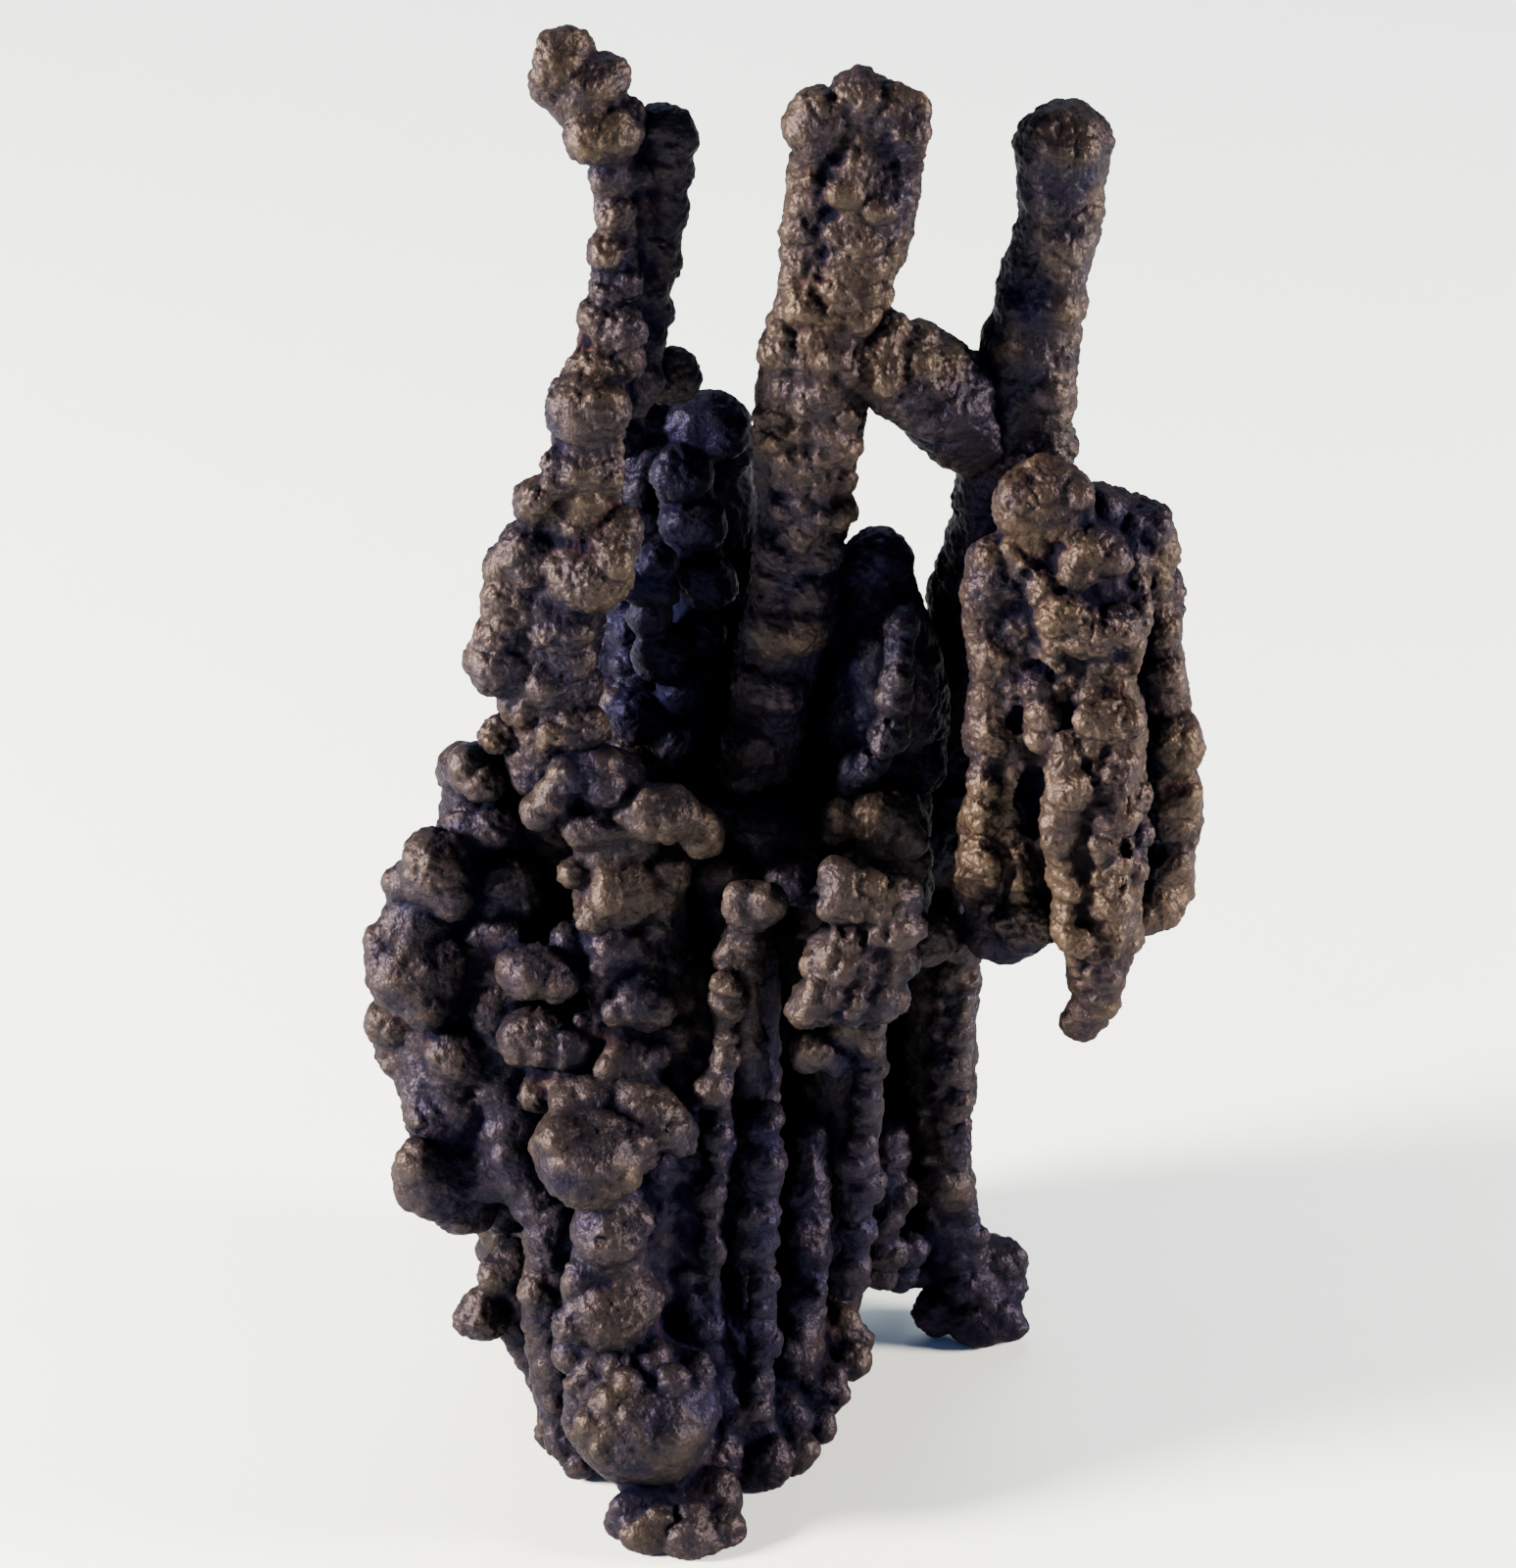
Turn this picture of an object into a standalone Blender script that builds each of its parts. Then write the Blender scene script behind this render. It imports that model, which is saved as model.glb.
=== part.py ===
"""A stalactitic manganese oxide specimen: three tall fingers, a cross branch, a
hanging cone cluster and a knobby base, grown as one rock and split only at its
main forks.  Metres, +Z up; the flat cut of the base stands on z = 0."""

from math import cos, hypot, pi, radians, sin
from random import Random

import bmesh
import bpy
from mathutils import Matrix, Vector

# ---------------------------------------------------------------------------
# Layout sheet.  The specimen is set out on a drawing sheet that leans back by
# LEAN_DEG, as drawn from a station point STATION_UNITS in front of it.  A position
# is given as (across, down, depth): across and down in sheet units, and depth
# in millimetres behind the foremost foot, measured along +Y.
# ---------------------------------------------------------------------------
UNIT_MM = 0.075           # one sheet unit at the middle of the specimen
LEAN_DEG = 30.0           # how far the line of sight points down
STATION_UNITS = 5333.3    # distance of the station point, in sheet units
SHEET_MID = (773.5, 800.0)            # sheet position of the aim point
AIM_MM = (0.0, 18.0, 60.0)            # the same aim point in the specimen
CENTRE_MM = (1.83, 22.93)             # middle of the specimen's box in X, Y

_E = radians(LEAN_DEG)
_UP = (0.0, sin(_E), cos(_E))
_FORWARD = (0.0, cos(_E), -sin(_E))
_REACH = UNIT_MM * STATION_UNITS
_EYE = tuple(AIM_MM[i] - _FORWARD[i] * _REACH for i in range(3))


def place(across, down, depth):
    """Sheet position and depth to (x, y, z) in mm and the size there of one unit."""
    a = (across - SHEET_MID[0]) / STATION_UNITS
    b = (SHEET_MID[1] - down) / STATION_UNITS
    ray = (a, _FORWARD[1] + b * _UP[1], _FORWARD[2] + b * _UP[2])
    t = (depth - _EYE[1]) / ray[1]
    point = tuple(_EYE[i] + t * ray[i] for i in range(3))
    return (point[0] - CENTRE_MM[0], point[1] - CENTRE_MM[1], point[2]), t / STATION_UNITS

# Each core is a style letter and the stations (across, down, depth, radius)
# of a tapering stem.  Each lobe is (across, down, depth, radius, style) with,
# where it is not the usual form, its width, its height, its lean in degrees and
# its depth, as shares of the radius.  Each bead row is (style, spacing as a share
# of the radius, stations): nodules in a line.  Styles: s smooth, b beaded,
# k knobby, r rough, w ringed, v ridged up and down.

SHAPES = {
    "left_stalk": {
        "cores": [
            ("k", [(606, 402, 24, 34), (594, 500, 22.9, 40), (577, 600, 22.6, 47), (557, 690, 22.4, 50), (562, 775, 22.3, 46)]),
            ("b", [(627, 165, 27, 22), (628, 230, 27, 21), (622, 300, 26, 23), (606, 400, 24.5, 30)]),
            ("s", [(684, 150, 29.5, 32), (679, 212, 29.5, 26), (664, 268, 29, 28), (660, 318, 28.5, 24), (640, 400, 26.5, 28)]),
            ("v", [(575, 70, 27.5, 31), (596, 104, 27.5, 30), (620, 145, 27, 30)]),
            ("b", [(650, 170, 28.5, 24), (645, 330, 28, 25), (648, 390, 27.5, 28)]),
        ],
        "lobes": [
            (571, 66, 27, 34, "v", 1.0, 1.15, -8), (574, 96, 27, 24, "v"), (562, 84, 27, 20, "s"), (620, 80, 27, 27, "b"), (600, 84, 26, 24, "v"),
            (612, 133, 26, 41, "s", 1.0, 0.82), (590, 140, 26, 24, "b"), (641, 118, 27.5, 20, "b"),
            (685, 141, 29.5, 38, "s", 1.0, 1.13), (693, 172, 29.5, 29, "s"), (664, 128, 29, 22, "s"),
            (681, 210, 29.5, 28, "s", 1.0, 1.1), (666, 268, 29.5, 31, "s", 1.0, 1.05), (661, 316, 28.8, 25, "s"), (650, 336, 28, 18, "s"),
            (606, 329, 24.5, 29, "b", 1.0, 0.9), (600, 370, 24, 29, "b", 1.0, 0.85), (640, 340, 26, 28, "k"), (640, 368, 26, 26, "k"),
            (682, 384, 29.5, 30, "s", 1.0, 1.05), (655, 392, 28, 28, "k"),
            (600, 422, 22.5, 44, "s"), (618, 418, 22.2, 27, "b"), (596, 478, 22.2, 44, "b", 1.0, 0.74), (562, 470, 23, 20, "b"),
            (548, 507, 22.5, 22, "r"), (566, 500, 22, 22, "b"), (624, 492, 22.8, 20, "k"), (600, 520, 22, 26, "b"),
            (600, 545, 21.2, 32, "B", 1.1, 0.9), (632, 545, 21, 29, "S", 0.95, 1.05), (603, 584, 19.8, 44, "s", 1.02, 0.92), (632, 568, 20.5, 26, "s"), (586, 548, 21, 20, "b"),
            (545, 558, 22.3, 31, "r"), (530, 612, 21.8, 33, "r"), (516, 580, 22.8, 20, "r"), (538, 590, 21, 16, "r"), (552, 625, 20.5, 16, "r"),
            (573, 641, 20.2, 33, "b", 1.0, 0.85), (594, 645, 21, 18, "b"), (512, 678, 20.4, 35, "s"), (498, 650, 22, 22, "k"),
            (560, 697, 19.8, 32, "b", 1.0, 0.8), (590, 680, 20.6, 27, "k"), (600, 704, 20.8, 20, "k"), (588, 741, 19.6, 37, "b", 1.0, 0.82),
            (556, 752, 20.3, 20, "b"), (526, 722, 21, 30, "k"), (513, 650, 21.8, 26, "k"), (572, 775, 20.6, 32, "k"), (512, 748, 21.5, 24, "k"),
        ],
        "rows": [
            ("b", 1.75, [(621, 182, 25.6, 21), (627, 225, 25.4, 18), (622, 262, 25.2, 20), (618, 292, 25, 20)]),
            ("b", 1.6, [(644, 190, 26.6, 13), (646, 235, 26.6, 12), (642, 290, 26.4, 13)]),
        ],
    },
    "back_left_stalk": {
        "cores": [
            ("k", [(735, 436, 36, 32), (738, 560, 37, 38), (730, 700, 36.5, 36), (722, 775, 35.5, 32)]),
            ("k", [(700, 484, 33, 28), (710, 580, 33.5, 28), (702, 700, 33, 26), (700, 775, 32, 28)]),
            ("K", [(676, 446, 37, 26), (664, 560, 37.5, 32), (652, 680, 37, 34), (650, 770, 36, 34)]),
            ("K", [(745, 470, 39.5, 28), (742, 600, 40, 30), (734, 740, 39, 32)]),
            ("k", [(640, 540, 40, 24), (630, 640, 39.5, 32), (625, 740, 38.5, 34)]),
        ],
        "lobes": [
            (722, 436, 33.5, 42, "s", 1.0, 0.98), (746, 446, 35, 30, "s"), (700, 484, 31.2, 33, "s"), (716, 536, 32, 31, "b"), (690, 530, 33, 18, "k"),
            (715, 588, 32.5, 28, "b"), (716, 642, 32, 24, "k"), (712, 615, 32.4, 22, "b"), (752, 466, 37, 28, "k"), (757, 525, 38, 32, "k"),
            (755, 590, 38, 28, "k"), (748, 650, 38, 28, "k"), (668, 570, 29.4, 19, "s"), (680, 602, 29, 21, "s", 1.0, 1.2), (664, 634, 28.6, 15, "b"),
            (650, 600, 31, 20, "k"), (681, 670, 29.8, 27, "k"), (660, 660, 31, 20, "k"), (702, 706, 30.5, 25, "k"), (697, 745, 30, 26, "k"),
            (665, 456, 35, 18, "k"), (650, 500, 38, 22, "k"), (670, 430, 34.4, 32, "k"), (652, 424, 35, 26, "k"), (652, 468, 35.4, 28, "k"), (640, 500, 36.5, 24, "k"),
        ],
    },
    "middle_stalk": {
        "cores": [
            ("b", [(890, 115, 28.5, 46), (888, 185, 28, 52), (878, 245, 27.8, 47), (849, 335, 27.2, 50), (836, 405, 26.9, 51), (830, 480, 26.8, 46), (818, 545, 26.8, 46), (806, 620, 26.4, 45), (788, 700, 26.8, 44), (777, 790, 27.6, 42)]),
            ("b", [(842, 165, 26, 20), (836, 235, 25.8, 21), (832, 300, 25.4, 22)]),
            ("b", [(802, 372, 26.4, 26), (799, 420, 26.2, 28), (800, 470, 26.2, 28), (803, 530, 26.2, 24)]),
            ("b", [(823, 165, 27, 19), (816, 235, 26.8, 18), (812, 300, 26.2, 20), (798, 350, 26, 22)]),
        ],
        "lobes": [
            (834, 126, 26.5, 35, "P", 1.0, 1.05), (830, 158, 27, 24, "s"), (880, 101, 27, 36, "P", 0.9, 1.0), (858, 98, 27, 18, "s"),
            (908, 116, 28, 44, "P"), (936, 124, 28, 52, "P", 1.0, 1.0, 0, 0.75), (925, 164, 27.5, 25, "b"), (918, 188, 27.4, 24, "b"),
            (892, 145, 26.6, 30, "v", 1.0, 1.2), (866, 140, 26.8, 24, "v", 1.0, 1.3), (904, 215, 27.2, 24, "b", 1.1, 0.85), (850, 170, 27, 14, "b"),
            (792, 340, 25.4, 14, "b"), (846, 330, 24.4, 24, "s"), (832, 420, 23.6, 22, "s", 0.7, 1.3),
            (785, 560, 24.2, 20, "s"), (777, 588, 24.4, 17, "b"), (798, 575, 23.8, 14, "b"), (812, 552, 23.6, 22, "b"), (846, 570, 25.5, 26, "k"), (834, 600, 25.4, 26, "k"),
            (790, 640, 24.8, 36, "w"), (820, 650, 25, 30, "w"), (778, 700, 24.9, 36, "w"), (806, 710, 25, 30, "w"), (768, 760, 25.4, 35, "w"), (760, 800, 26, 30, "w"),
        ],
        "rows": [
            ("b", 1.75, [(821, 185, 25.6, 17), (815, 240, 25.5, 18), (810, 300, 25.1, 18)]),
            ("b", 1.5, [(858, 195, 24.8, 21), (852, 240, 24.6, 21), (852, 290, 24.2, 22)]),
            ("b", 1.5, [(893, 205, 25.6, 22), (890, 250, 25.4, 21), (888, 300, 25, 22)]),
            ("b", 1.35, [(912, 250, 27, 12), (905, 300, 27, 15)]),
            ("b", 1.45, [(796, 345, 24.6, 18), (797, 395, 24.2, 19), (795, 450, 24.2, 18), (797, 520, 24.2, 18)]),
            ("b", 1.4, [(820, 318, 23.6, 19), (820, 400, 23.3, 19), (818, 520, 23.5, 19)]),
            ("b", 1.5, [(850, 365, 23.6, 23), (846, 440, 23.5, 22), (840, 530, 23.8, 21)]),
            ("b", 1.6, [(884, 330, 24.9, 23), (874, 380, 24.8, 23), (869, 430, 24.8, 22), (862, 520, 25, 19)]),
        ],
    },
    "cross_branch": {
        "cores": [("p", [(884, 364, 26.6, 46), (930, 384, 27.0, 47), (962, 404, 27.6, 48), (990, 432, 28.8, 48)])],
        "lobes": [
            (906, 366, 26.4, 54, "P", 0.46, 1.0, 2, 0.9), (932, 377, 26.6, 55, "P", 0.46, 1.0, 8, 0.86), (957, 396, 27, 57, "P", 0.46, 1.0, 14, 0.84),
            (981, 420, 27.8, 59, "P", 0.46, 1.0, 20, 0.8),
        ],
    },
    "right_stalk": {
        "cores": [
            ("w", [(1085, 152, 30, 48), (1085, 200, 30, 46), (1076, 250, 30, 47), (1063, 305, 29.7, 49), (1053, 350, 29.4, 47), (1047, 400, 29.2, 47), (1049, 455, 29.2, 45), (1048, 490, 29.7, 42)]),
            ("s", [(1034, 455, 29.7, 43), (1012, 520, 31.5, 39), (990, 600, 33.5, 43), (980, 690, 34, 45), (976, 770, 33.4, 47)]),
        ],
        "lobes": [
            (1085, 158, 30, 50, "P", 1.0, 1.1, 0, 1.0), (1070, 405, 28.8, 26, "w"), (1055, 458, 28.8, 45, "w"), (1020, 440, 29.2, 38, "w"),
            (1000, 452, 30, 34, "s"),
        ],
        "rows": [
            ("w", 2.0, [(1099, 196, 28.8, 24), (1094, 245, 28.7, 24), (1085, 322, 28, 26), (1070, 385, 27.6, 25)]),
        ],
    },
    "hanging_cluster": {
        "cores": [
            ("k", [(1066, 520, 23, 44), (1052, 600, 22.7, 46), (1042, 700, 22.5, 48), (1038, 800, 22.6, 50), (1034, 890, 21.9, 50), (1032, 935, 21.4, 44)]),
            ("r", [(1105, 570, 22, 42), (1112, 680, 21.4, 52), (1118, 790, 19.6, 52), (1120, 880, 18, 50), (1122, 950, 16.4, 41)]),
            ("r", [(1122, 945, 16.4, 41), (1117, 1003, 15.4, 27), (1114, 1042, 15.0, 17)]),
            ("k", [(1150, 540, 25, 26), (1174, 600, 26, 31), (1182, 700, 26, 31), (1194, 790, 25.6, 33), (1188, 900, 24.6, 33)]),
            ("k", [(1100, 600, 27, 48), (1106, 720, 27.5, 60), (1108, 830, 27, 60), (1104, 895, 25.5, 50)]),
            ("k", [(1096, 560, 23.5, 40), (1098, 700, 24, 52), (1100, 880, 22.5, 50)]),
            ("r", [(1150, 560, 23, 18), (1158, 620, 20.5, 16), (1152, 670, 19.5, 16)]),
            ("r", [(1040, 560, 21, 18), (1062, 600, 19.6, 18), (1078, 660, 18.6, 16), (1056, 700, 18.6, 14), (1062, 750, 17.6, 16), (1085, 752, 16.6, 16)]),
            ("r", [(1086, 760, 16.2, 17), (1082, 850, 15.2, 18), (1088, 950, 14.4, 18)]),
            ("r", [(1134, 775, 16.4, 25), (1134, 860, 15.6, 26), (1130, 950, 14.8, 24)]),
            ("r", [(1012, 790, 21, 26), (1006, 860, 21, 32), (1018, 930, 20, 34)]),
            ("r", [(1040, 880, 19.4, 24), (1042, 940, 18.4, 22)]),
            ("p", [(1012, 575, 21.8, 27), (1010, 640, 21.4, 26), (1012, 760, 20.8, 26)]),
        ],
        "lobes": [
            (1066, 514, 22.2, 51, "s"), (1038, 514, 21.6, 26, "s", 0.9, 1.2), (1104, 506, 23, 23, "s"), (1082, 545, 21.6, 22, "b"),
            (1110, 566, 20.2, 36, "s", 0.95, 0.95), (1140, 575, 22, 20, "b"), (1092, 590, 19.8, 22, "b"), (1115, 642, 18.6, 43, "s", 1.0, 0.7),
            (1148, 640, 20.2, 18, "b"), (1080, 630, 19.2, 20, "b"), (1115, 684, 17.9, 18, "s"), (1093, 690, 18.6, 15, "b"), (1138, 682, 19, 16, "b"),
            (1134, 731, 17.2, 37, "s", 1.0, 0.76), (1158, 738, 18.6, 17, "b"), (1105, 735, 17.2, 18, "b"),
            (1012, 572, 21.6, 27, "P"), (1009, 606, 21.2, 32, "P", 0.9, 1.2), (1009, 668, 21, 31, "P", 0.85, 1.2), (1012, 742, 20.4, 31, "P", 0.85, 1.1), (1034, 606, 20.2, 18, "b"), (1005, 835, 20.4, 26, "r"), (1000, 880, 20.4, 30, "r"), (990, 900, 22, 26, "r"),
            (1018, 950, 20.2, 38, "r"), (1042, 956, 20, 30, "r"), (1062, 945, 20, 24, "r"), (1179, 560, 25, 27, "S", 0.9, 1.3), (1183, 600, 24.6, 26, "b"), (1178, 632, 24.6, 24, "S", 0.9, 1.2),
            (1184, 692, 24.2, 29, "b"), (1190, 650, 25, 18, "b"), (1197, 764, 23.6, 33, "b", 1.0, 1.15), (1195, 812, 23.4, 32, "b"), (1196, 846, 23.4, 30, "b"),
            (1188, 890, 23.2, 30, "b"), (1183, 922, 23, 32, "k"), (1165, 938, 22, 26, "k"), (1180, 795, 19.4, 17, "s"), (1164, 812, 18, 18, "b"), (1166, 850, 18, 17, "b"), (1160, 890, 17.6, 17, "b"),
            (1160, 562, 25.4, 42, "K", 0.95, 1.15), (1132, 540, 24.6, 34, "K"), (1158, 536, 25, 24, "k"), (1128, 516, 25, 20, "k"), (1180, 538, 25.4, 24, "b"),  (1150, 775, 17, 18, "b"), (1110, 768, 16, 20, "b"), (1040, 640, 21, 22, "r"), (1034, 700, 21, 18, "r"),
        ],
        "rows": [
            ("b", 1.3, [(1084, 775, 14.6, 13), (1080, 860, 13.8, 14), (1088, 950, 13.2, 13), (1102, 1040, 13, 9)]),
            ("b", 1.3, [(1120, 765, 14.2, 13), (1118, 860, 13.2, 14), (1118, 950, 12.8, 13), (1115, 1040, 12.8, 9)]),
            ("b", 1.3, [(1144, 790, 15, 13), (1146, 870, 14.2, 14), (1138, 950, 13.8, 12), (1124, 1040, 13.4, 9)]),
            ("b", 1.4, [(1050, 580, 18.4, 13), (1072, 640, 17.4, 13), (1082, 700, 16.8, 12)]),
            ("b", 1.3, [(1008, 790, 18.8, 15), (1000, 860, 18.8, 15), (1016, 940, 18, 15)]),
            ("b", 1.3, [(1040, 870, 17.8, 13), (1042, 930, 17, 13)]),
        ],
    },
    "inner_stalk": {
        "cores": [
            ("s", [(893, 585, 29, 36), (908, 650, 28.8, 47), (910, 700, 28.6, 48), (906, 750, 28.2, 44), (902, 795, 27.8, 42)]),
            ("K", [(866, 650, 33, 26), (860, 720, 33.5, 30), (856, 800, 33, 34)]),
            ("r", [(918, 634, 23.4, 13), (917, 690, 22.1, 15), (908, 748, 22.3, 15), (876, 806, 22.8, 13)]),
        ],
        "lobes": [
            (891, 574, 28.4, 38, "P"), (864, 600, 29.4, 24, "K"), (858, 640, 30, 26, "K"), (912, 700, 26.2, 56, "P", 1.0, 1.72, 3), (880, 706, 25.6, 33, "s", 1.0, 2.2, 4),
            (940, 720, 27, 32, "s", 1.0, 2.2), (900, 780, 25.4, 38, "k"), (936, 780, 26.4, 33, "s", 0.8, 1.2), (866, 790, 25, 18, "b"),
        ],
        "rows": [("r", 0.9, [(922, 636, 23, 17), (918, 700, 22.4, 19), (906, 755, 22.4, 17), (880, 800, 22.8, 14)])],
    },
    "base_cluster": {
        "cores": [
            # trunks behind the front growths
            ("k", [(560, 805, 26, 55), (560, 900, 27, 62), (560, 1000, 27, 66), (565, 1100, 27, 64), (580, 1200, 26, 58), (600, 1300, 25, 55), (610, 1400, 24, 45)]),
            ("k", [(690, 820, 28, 50), (690, 950, 28, 60), (690, 1100, 27, 62), (690, 1250, 25, 62), (690, 1380, 22, 62), (700, 1470, 16, 58), (690, 1545, 8.4, 42)]),
            ("k", [(830, 840, 30, 46), (840, 950, 30, 50), (850, 1080, 31, 42), (850, 1200, 30, 38), (845, 1320, 27, 34), (820, 1420, 19, 34)]),
            ("k", [(930, 850, 31, 48), (945, 950, 31, 46), (950, 1050, 32, 34), (950, 1150, 33, 30), (955, 1250, 33, 28)]),
            ("k", [(450, 905, 23, 40), (440, 1000, 23, 50), (455, 1090, 22, 46), (480, 1190, 20, 42)]),
            # fill between the front growths and the trunks
            ("k", [(478, 815, 24, 28), (470, 900, 22, 38), (455, 1000, 21, 46), (450, 1100, 19, 44), (462, 1190, 17, 38), (480, 1225, 17, 32)]),
            ("k", [(520, 900, 21, 32), (520, 1000, 19, 34), (520, 1100, 17.5, 38), (530, 1180, 15.5, 36), (548, 1225, 14, 32)]),
            ("k", [(560, 1240, 13, 28), (560, 1330, 12.5, 30), (575, 1420, 12, 30), (590, 1478, 11, 26)]),
            ("k", [(525, 1290, 17, 26), (526, 1345, 17, 22), (556, 1400, 15.5, 21), (576, 1455, 14, 22)]),
            ("k", [(700, 1180, 14, 26), (700, 1300, 13, 30), (720, 1400, 12.5, 32), (735, 1465, 11, 34)]),
            ("k", [(826, 1160, 26, 22), (822, 1280, 22.6, 27), (814, 1380, 18.6, 31)]),
            ("k", [(905, 1160, 26, 22), (898, 1250, 25, 22)]),
            ("k", [(958, 940, 27, 30), (955, 1000, 27, 38), (960, 1100, 28, 34), (962, 1200, 29.5, 30), (960, 1250, 30, 26)]),
            ("k", [(966, 1240, 29.5, 26), (982, 1290, 30.8, 30), (1000, 1325, 30.4, 30), (1004, 1350, 29.2, 28)]),
            ("k", [(660, 900, 19, 40), (665, 1000, 18, 40), (670, 1100, 16, 42), (665, 1200, 14, 42), (660, 1300, 13, 42)]),
            ("k", [(745, 900, 22, 34), (760, 1000, 21, 34), (765, 1100, 21, 32), (760, 1200, 20, 32), (755, 1300, 18, 34), (755, 1420, 15, 34)]),
            # the solid heart of the base
            ("k", [(690, 930, 33, 72), (700, 1100, 33, 84), (706, 1250, 32, 66), (706, 1340, 31, 50)]),
            ("k", [(600, 880, 30, 58), (600, 1100, 30, 74), (612, 1290, 29, 54)]),
            ("k", [(820, 900, 34, 56), (830, 1100, 34.5, 62), (834, 1270, 32, 46)]),
            ("k", [(915, 900, 34, 42), (922, 1100, 35.5, 38), (928, 1225, 34.5, 32)]),
            ("k", [(500, 930, 26, 44), (500, 1100, 25, 50), (520, 1220, 22, 40)]),
            ("k", [(660, 1260, 18, 52), (690, 1400, 16, 56), (700, 1480, 10, 50)]),
            ("k", [(968, 800, 32.4, 36), (965, 880, 31.4, 38), (958, 960, 30.4, 34)]),
            # columns of the far side
            ("K", [(560, 905, 36, 46), (560, 1050, 37, 54), (572, 1200, 37, 54), (592, 1330, 36, 48), (602, 1400, 35, 42)]),
            ("K", [(670, 860, 40, 50), (680, 1000, 41, 58), (690, 1150, 41, 56), (700, 1290, 40, 50), (706, 1360, 39, 42)]),
            ("K", [(772, 860, 38, 50), (776, 1000, 39, 52), (784, 1150, 39, 48), (796, 1300, 38, 42), (804, 1370, 36, 36)]),
            ("K", [(890, 900, 38, 46), (895, 1000, 39, 46), (900, 1120, 39, 42), (905, 1230, 37, 34)]),
            ("K", [(480, 960, 31, 44), (480, 1060, 31, 48), (500, 1170, 29, 42), (530, 1280, 27, 34)]),
            ("K", [(640, 720, 36, 34), (645, 800, 35, 42), (645, 880, 34, 45)]),
            ("K", [(770, 720, 37, 32), (775, 800, 36, 40), (775, 880, 34, 42)]),
            ("K", [(842, 700, 36, 32), (842, 780, 36, 40), (842, 860, 35, 44)]),
            ("K", [(935, 700, 38, 34), (932, 780, 38, 40), (925, 880, 37, 44)]),
            ("K", [(975, 800, 37, 28), (970, 880, 35, 34), (962, 960, 33, 36)]),
            # the thin parallel stalks at the lower middle
            ("b", [(740, 1000, 13.6, 11), (738, 1090, 13.2, 12), (733, 1180, 12.4, 12), (726, 1270, 11.6, 13), (722, 1380, 11.6, 14)]),
            ("b", [(778, 1150, 14, 13), (780, 1250, 12.9, 13), (777, 1360, 12.2, 14), (770, 1450, 11.2, 17)]),
            ("b", [(890, 1040, 15.4, 16), (882, 1120, 16.4, 16), (874, 1220, 17.6, 15), (866, 1310, 18.4, 15)]),
            ("r", [(974, 950, 25, 20), (978, 1000, 25, 22), (971, 1050, 25.5, 22), (962, 1130, 27, 24), (964, 1190, 28, 23), (970, 1240, 29.5, 26)]),
            ("p", [(758, 955, 16, 22), (758, 1050, 16.2, 23), (757, 1130, 17, 22), (756, 1180, 18, 20)]),
            ("k", [(620, 800, 20, 40), (625, 900, 18, 38), (630, 1000, 16.5, 36), (640, 1090, 14, 36), (610, 1180, 12, 45)]),
            ("k", [(622, 1240, 11, 32), (622, 1330, 11.4, 38), (645, 1440, 10.4, 54), (690, 1548, 5, 38)]),
            ("k", [(470, 790, 23.5, 28), (500, 850, 23, 34), (530, 900, 22, 30), (530, 1000, 20, 32), (545, 1070, 17, 32)]),
            ("k", [(905, 820, 27, 46), (900, 900, 25, 50), (880, 980, 19, 42), (870, 1040, 17, 32)]),
            ("k", [(700, 900, 24, 30), (720, 1000, 19, 30), (722, 1080, 17, 30)]),
        ],
        "lobes": [
            # left flank
            (485, 788, 22.4, 33, "s", 1.0, 0.95), (477, 777, 23, 20, "b"), (500, 800, 22.6, 26, "b"), (486, 843, 21.8, 34, "s", 1.05, 0.8), (470, 862, 22, 18, "b"),
            (510, 836, 22.6, 22, "k"), (526, 896, 19.4, 27, "s"), (518, 905, 19.8, 26, "s"), (536, 925, 20.4, 24, "k"), (520, 955, 20.6, 28, "k"),
            (444, 893, 19.4, 45, "P", 0.94, 1.0), (415, 905, 20, 27, "S"), (462, 925, 19.2, 24, "s"), (423, 992, 18.4, 54, "P"), (404, 962, 19, 33, "s"),
            (452, 985, 17.8, 32, "s"), (408, 1040, 20, 35, "s"), (428, 1068, 21.2, 45, "s"), (436, 1035, 19, 28, "s"), (470, 1078, 16.6, 36, "b", 1.1, 0.9, 30),
            (452, 1108, 16.8, 30, "b"), (470, 1130, 17, 30, "k"), (438, 1140, 17.4, 28, "b"), (428, 948, 19.8, 46, "S"), (446, 1200, 15.2, 47, "P"), (430, 1184, 15.6, 27, "s"), (476, 1229, 16, 36, "k"),
            (512, 1240, 15.6, 30, "k"), (500, 1195, 15.4, 38, "k"), (526, 1188, 13.2, 27, "r"), (522, 1212, 13.8, 18, "r"), (545, 992, 14.6, 33, "P", 1.0, 0.95),
            (532, 1018, 15, 20, "b"), (568, 1012, 15, 16, "b"), (536, 1062, 13.8, 33, "S", 0.9, 1.0), (552, 1075, 14, 24, "b"), (578, 1070, 13, 25, "s"),
            (560, 1045, 14.4, 22, "b"), (592, 1040, 12.8, 12, "s"), (598, 1005, 13.6, 13, "s"), (582, 1000, 14.8, 14, "b"), (505, 960, 19.4, 32, "k"),
            (495, 1130, 17.6, 36, "k"), (560, 1110, 13.8, 28, "k"), (540, 1120, 13.6, 14, "s"), (500, 1040, 17.4, 26, "k"),
            # middle column
            (600, 790, 18.2, 38, "s", 1.0, 0.85), (578, 795, 17.2, 20, "b"), (565, 812, 17, 14, "s"), (549, 833, 17, 15, "s"), (560, 822, 17.4, 12, "s"),
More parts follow.
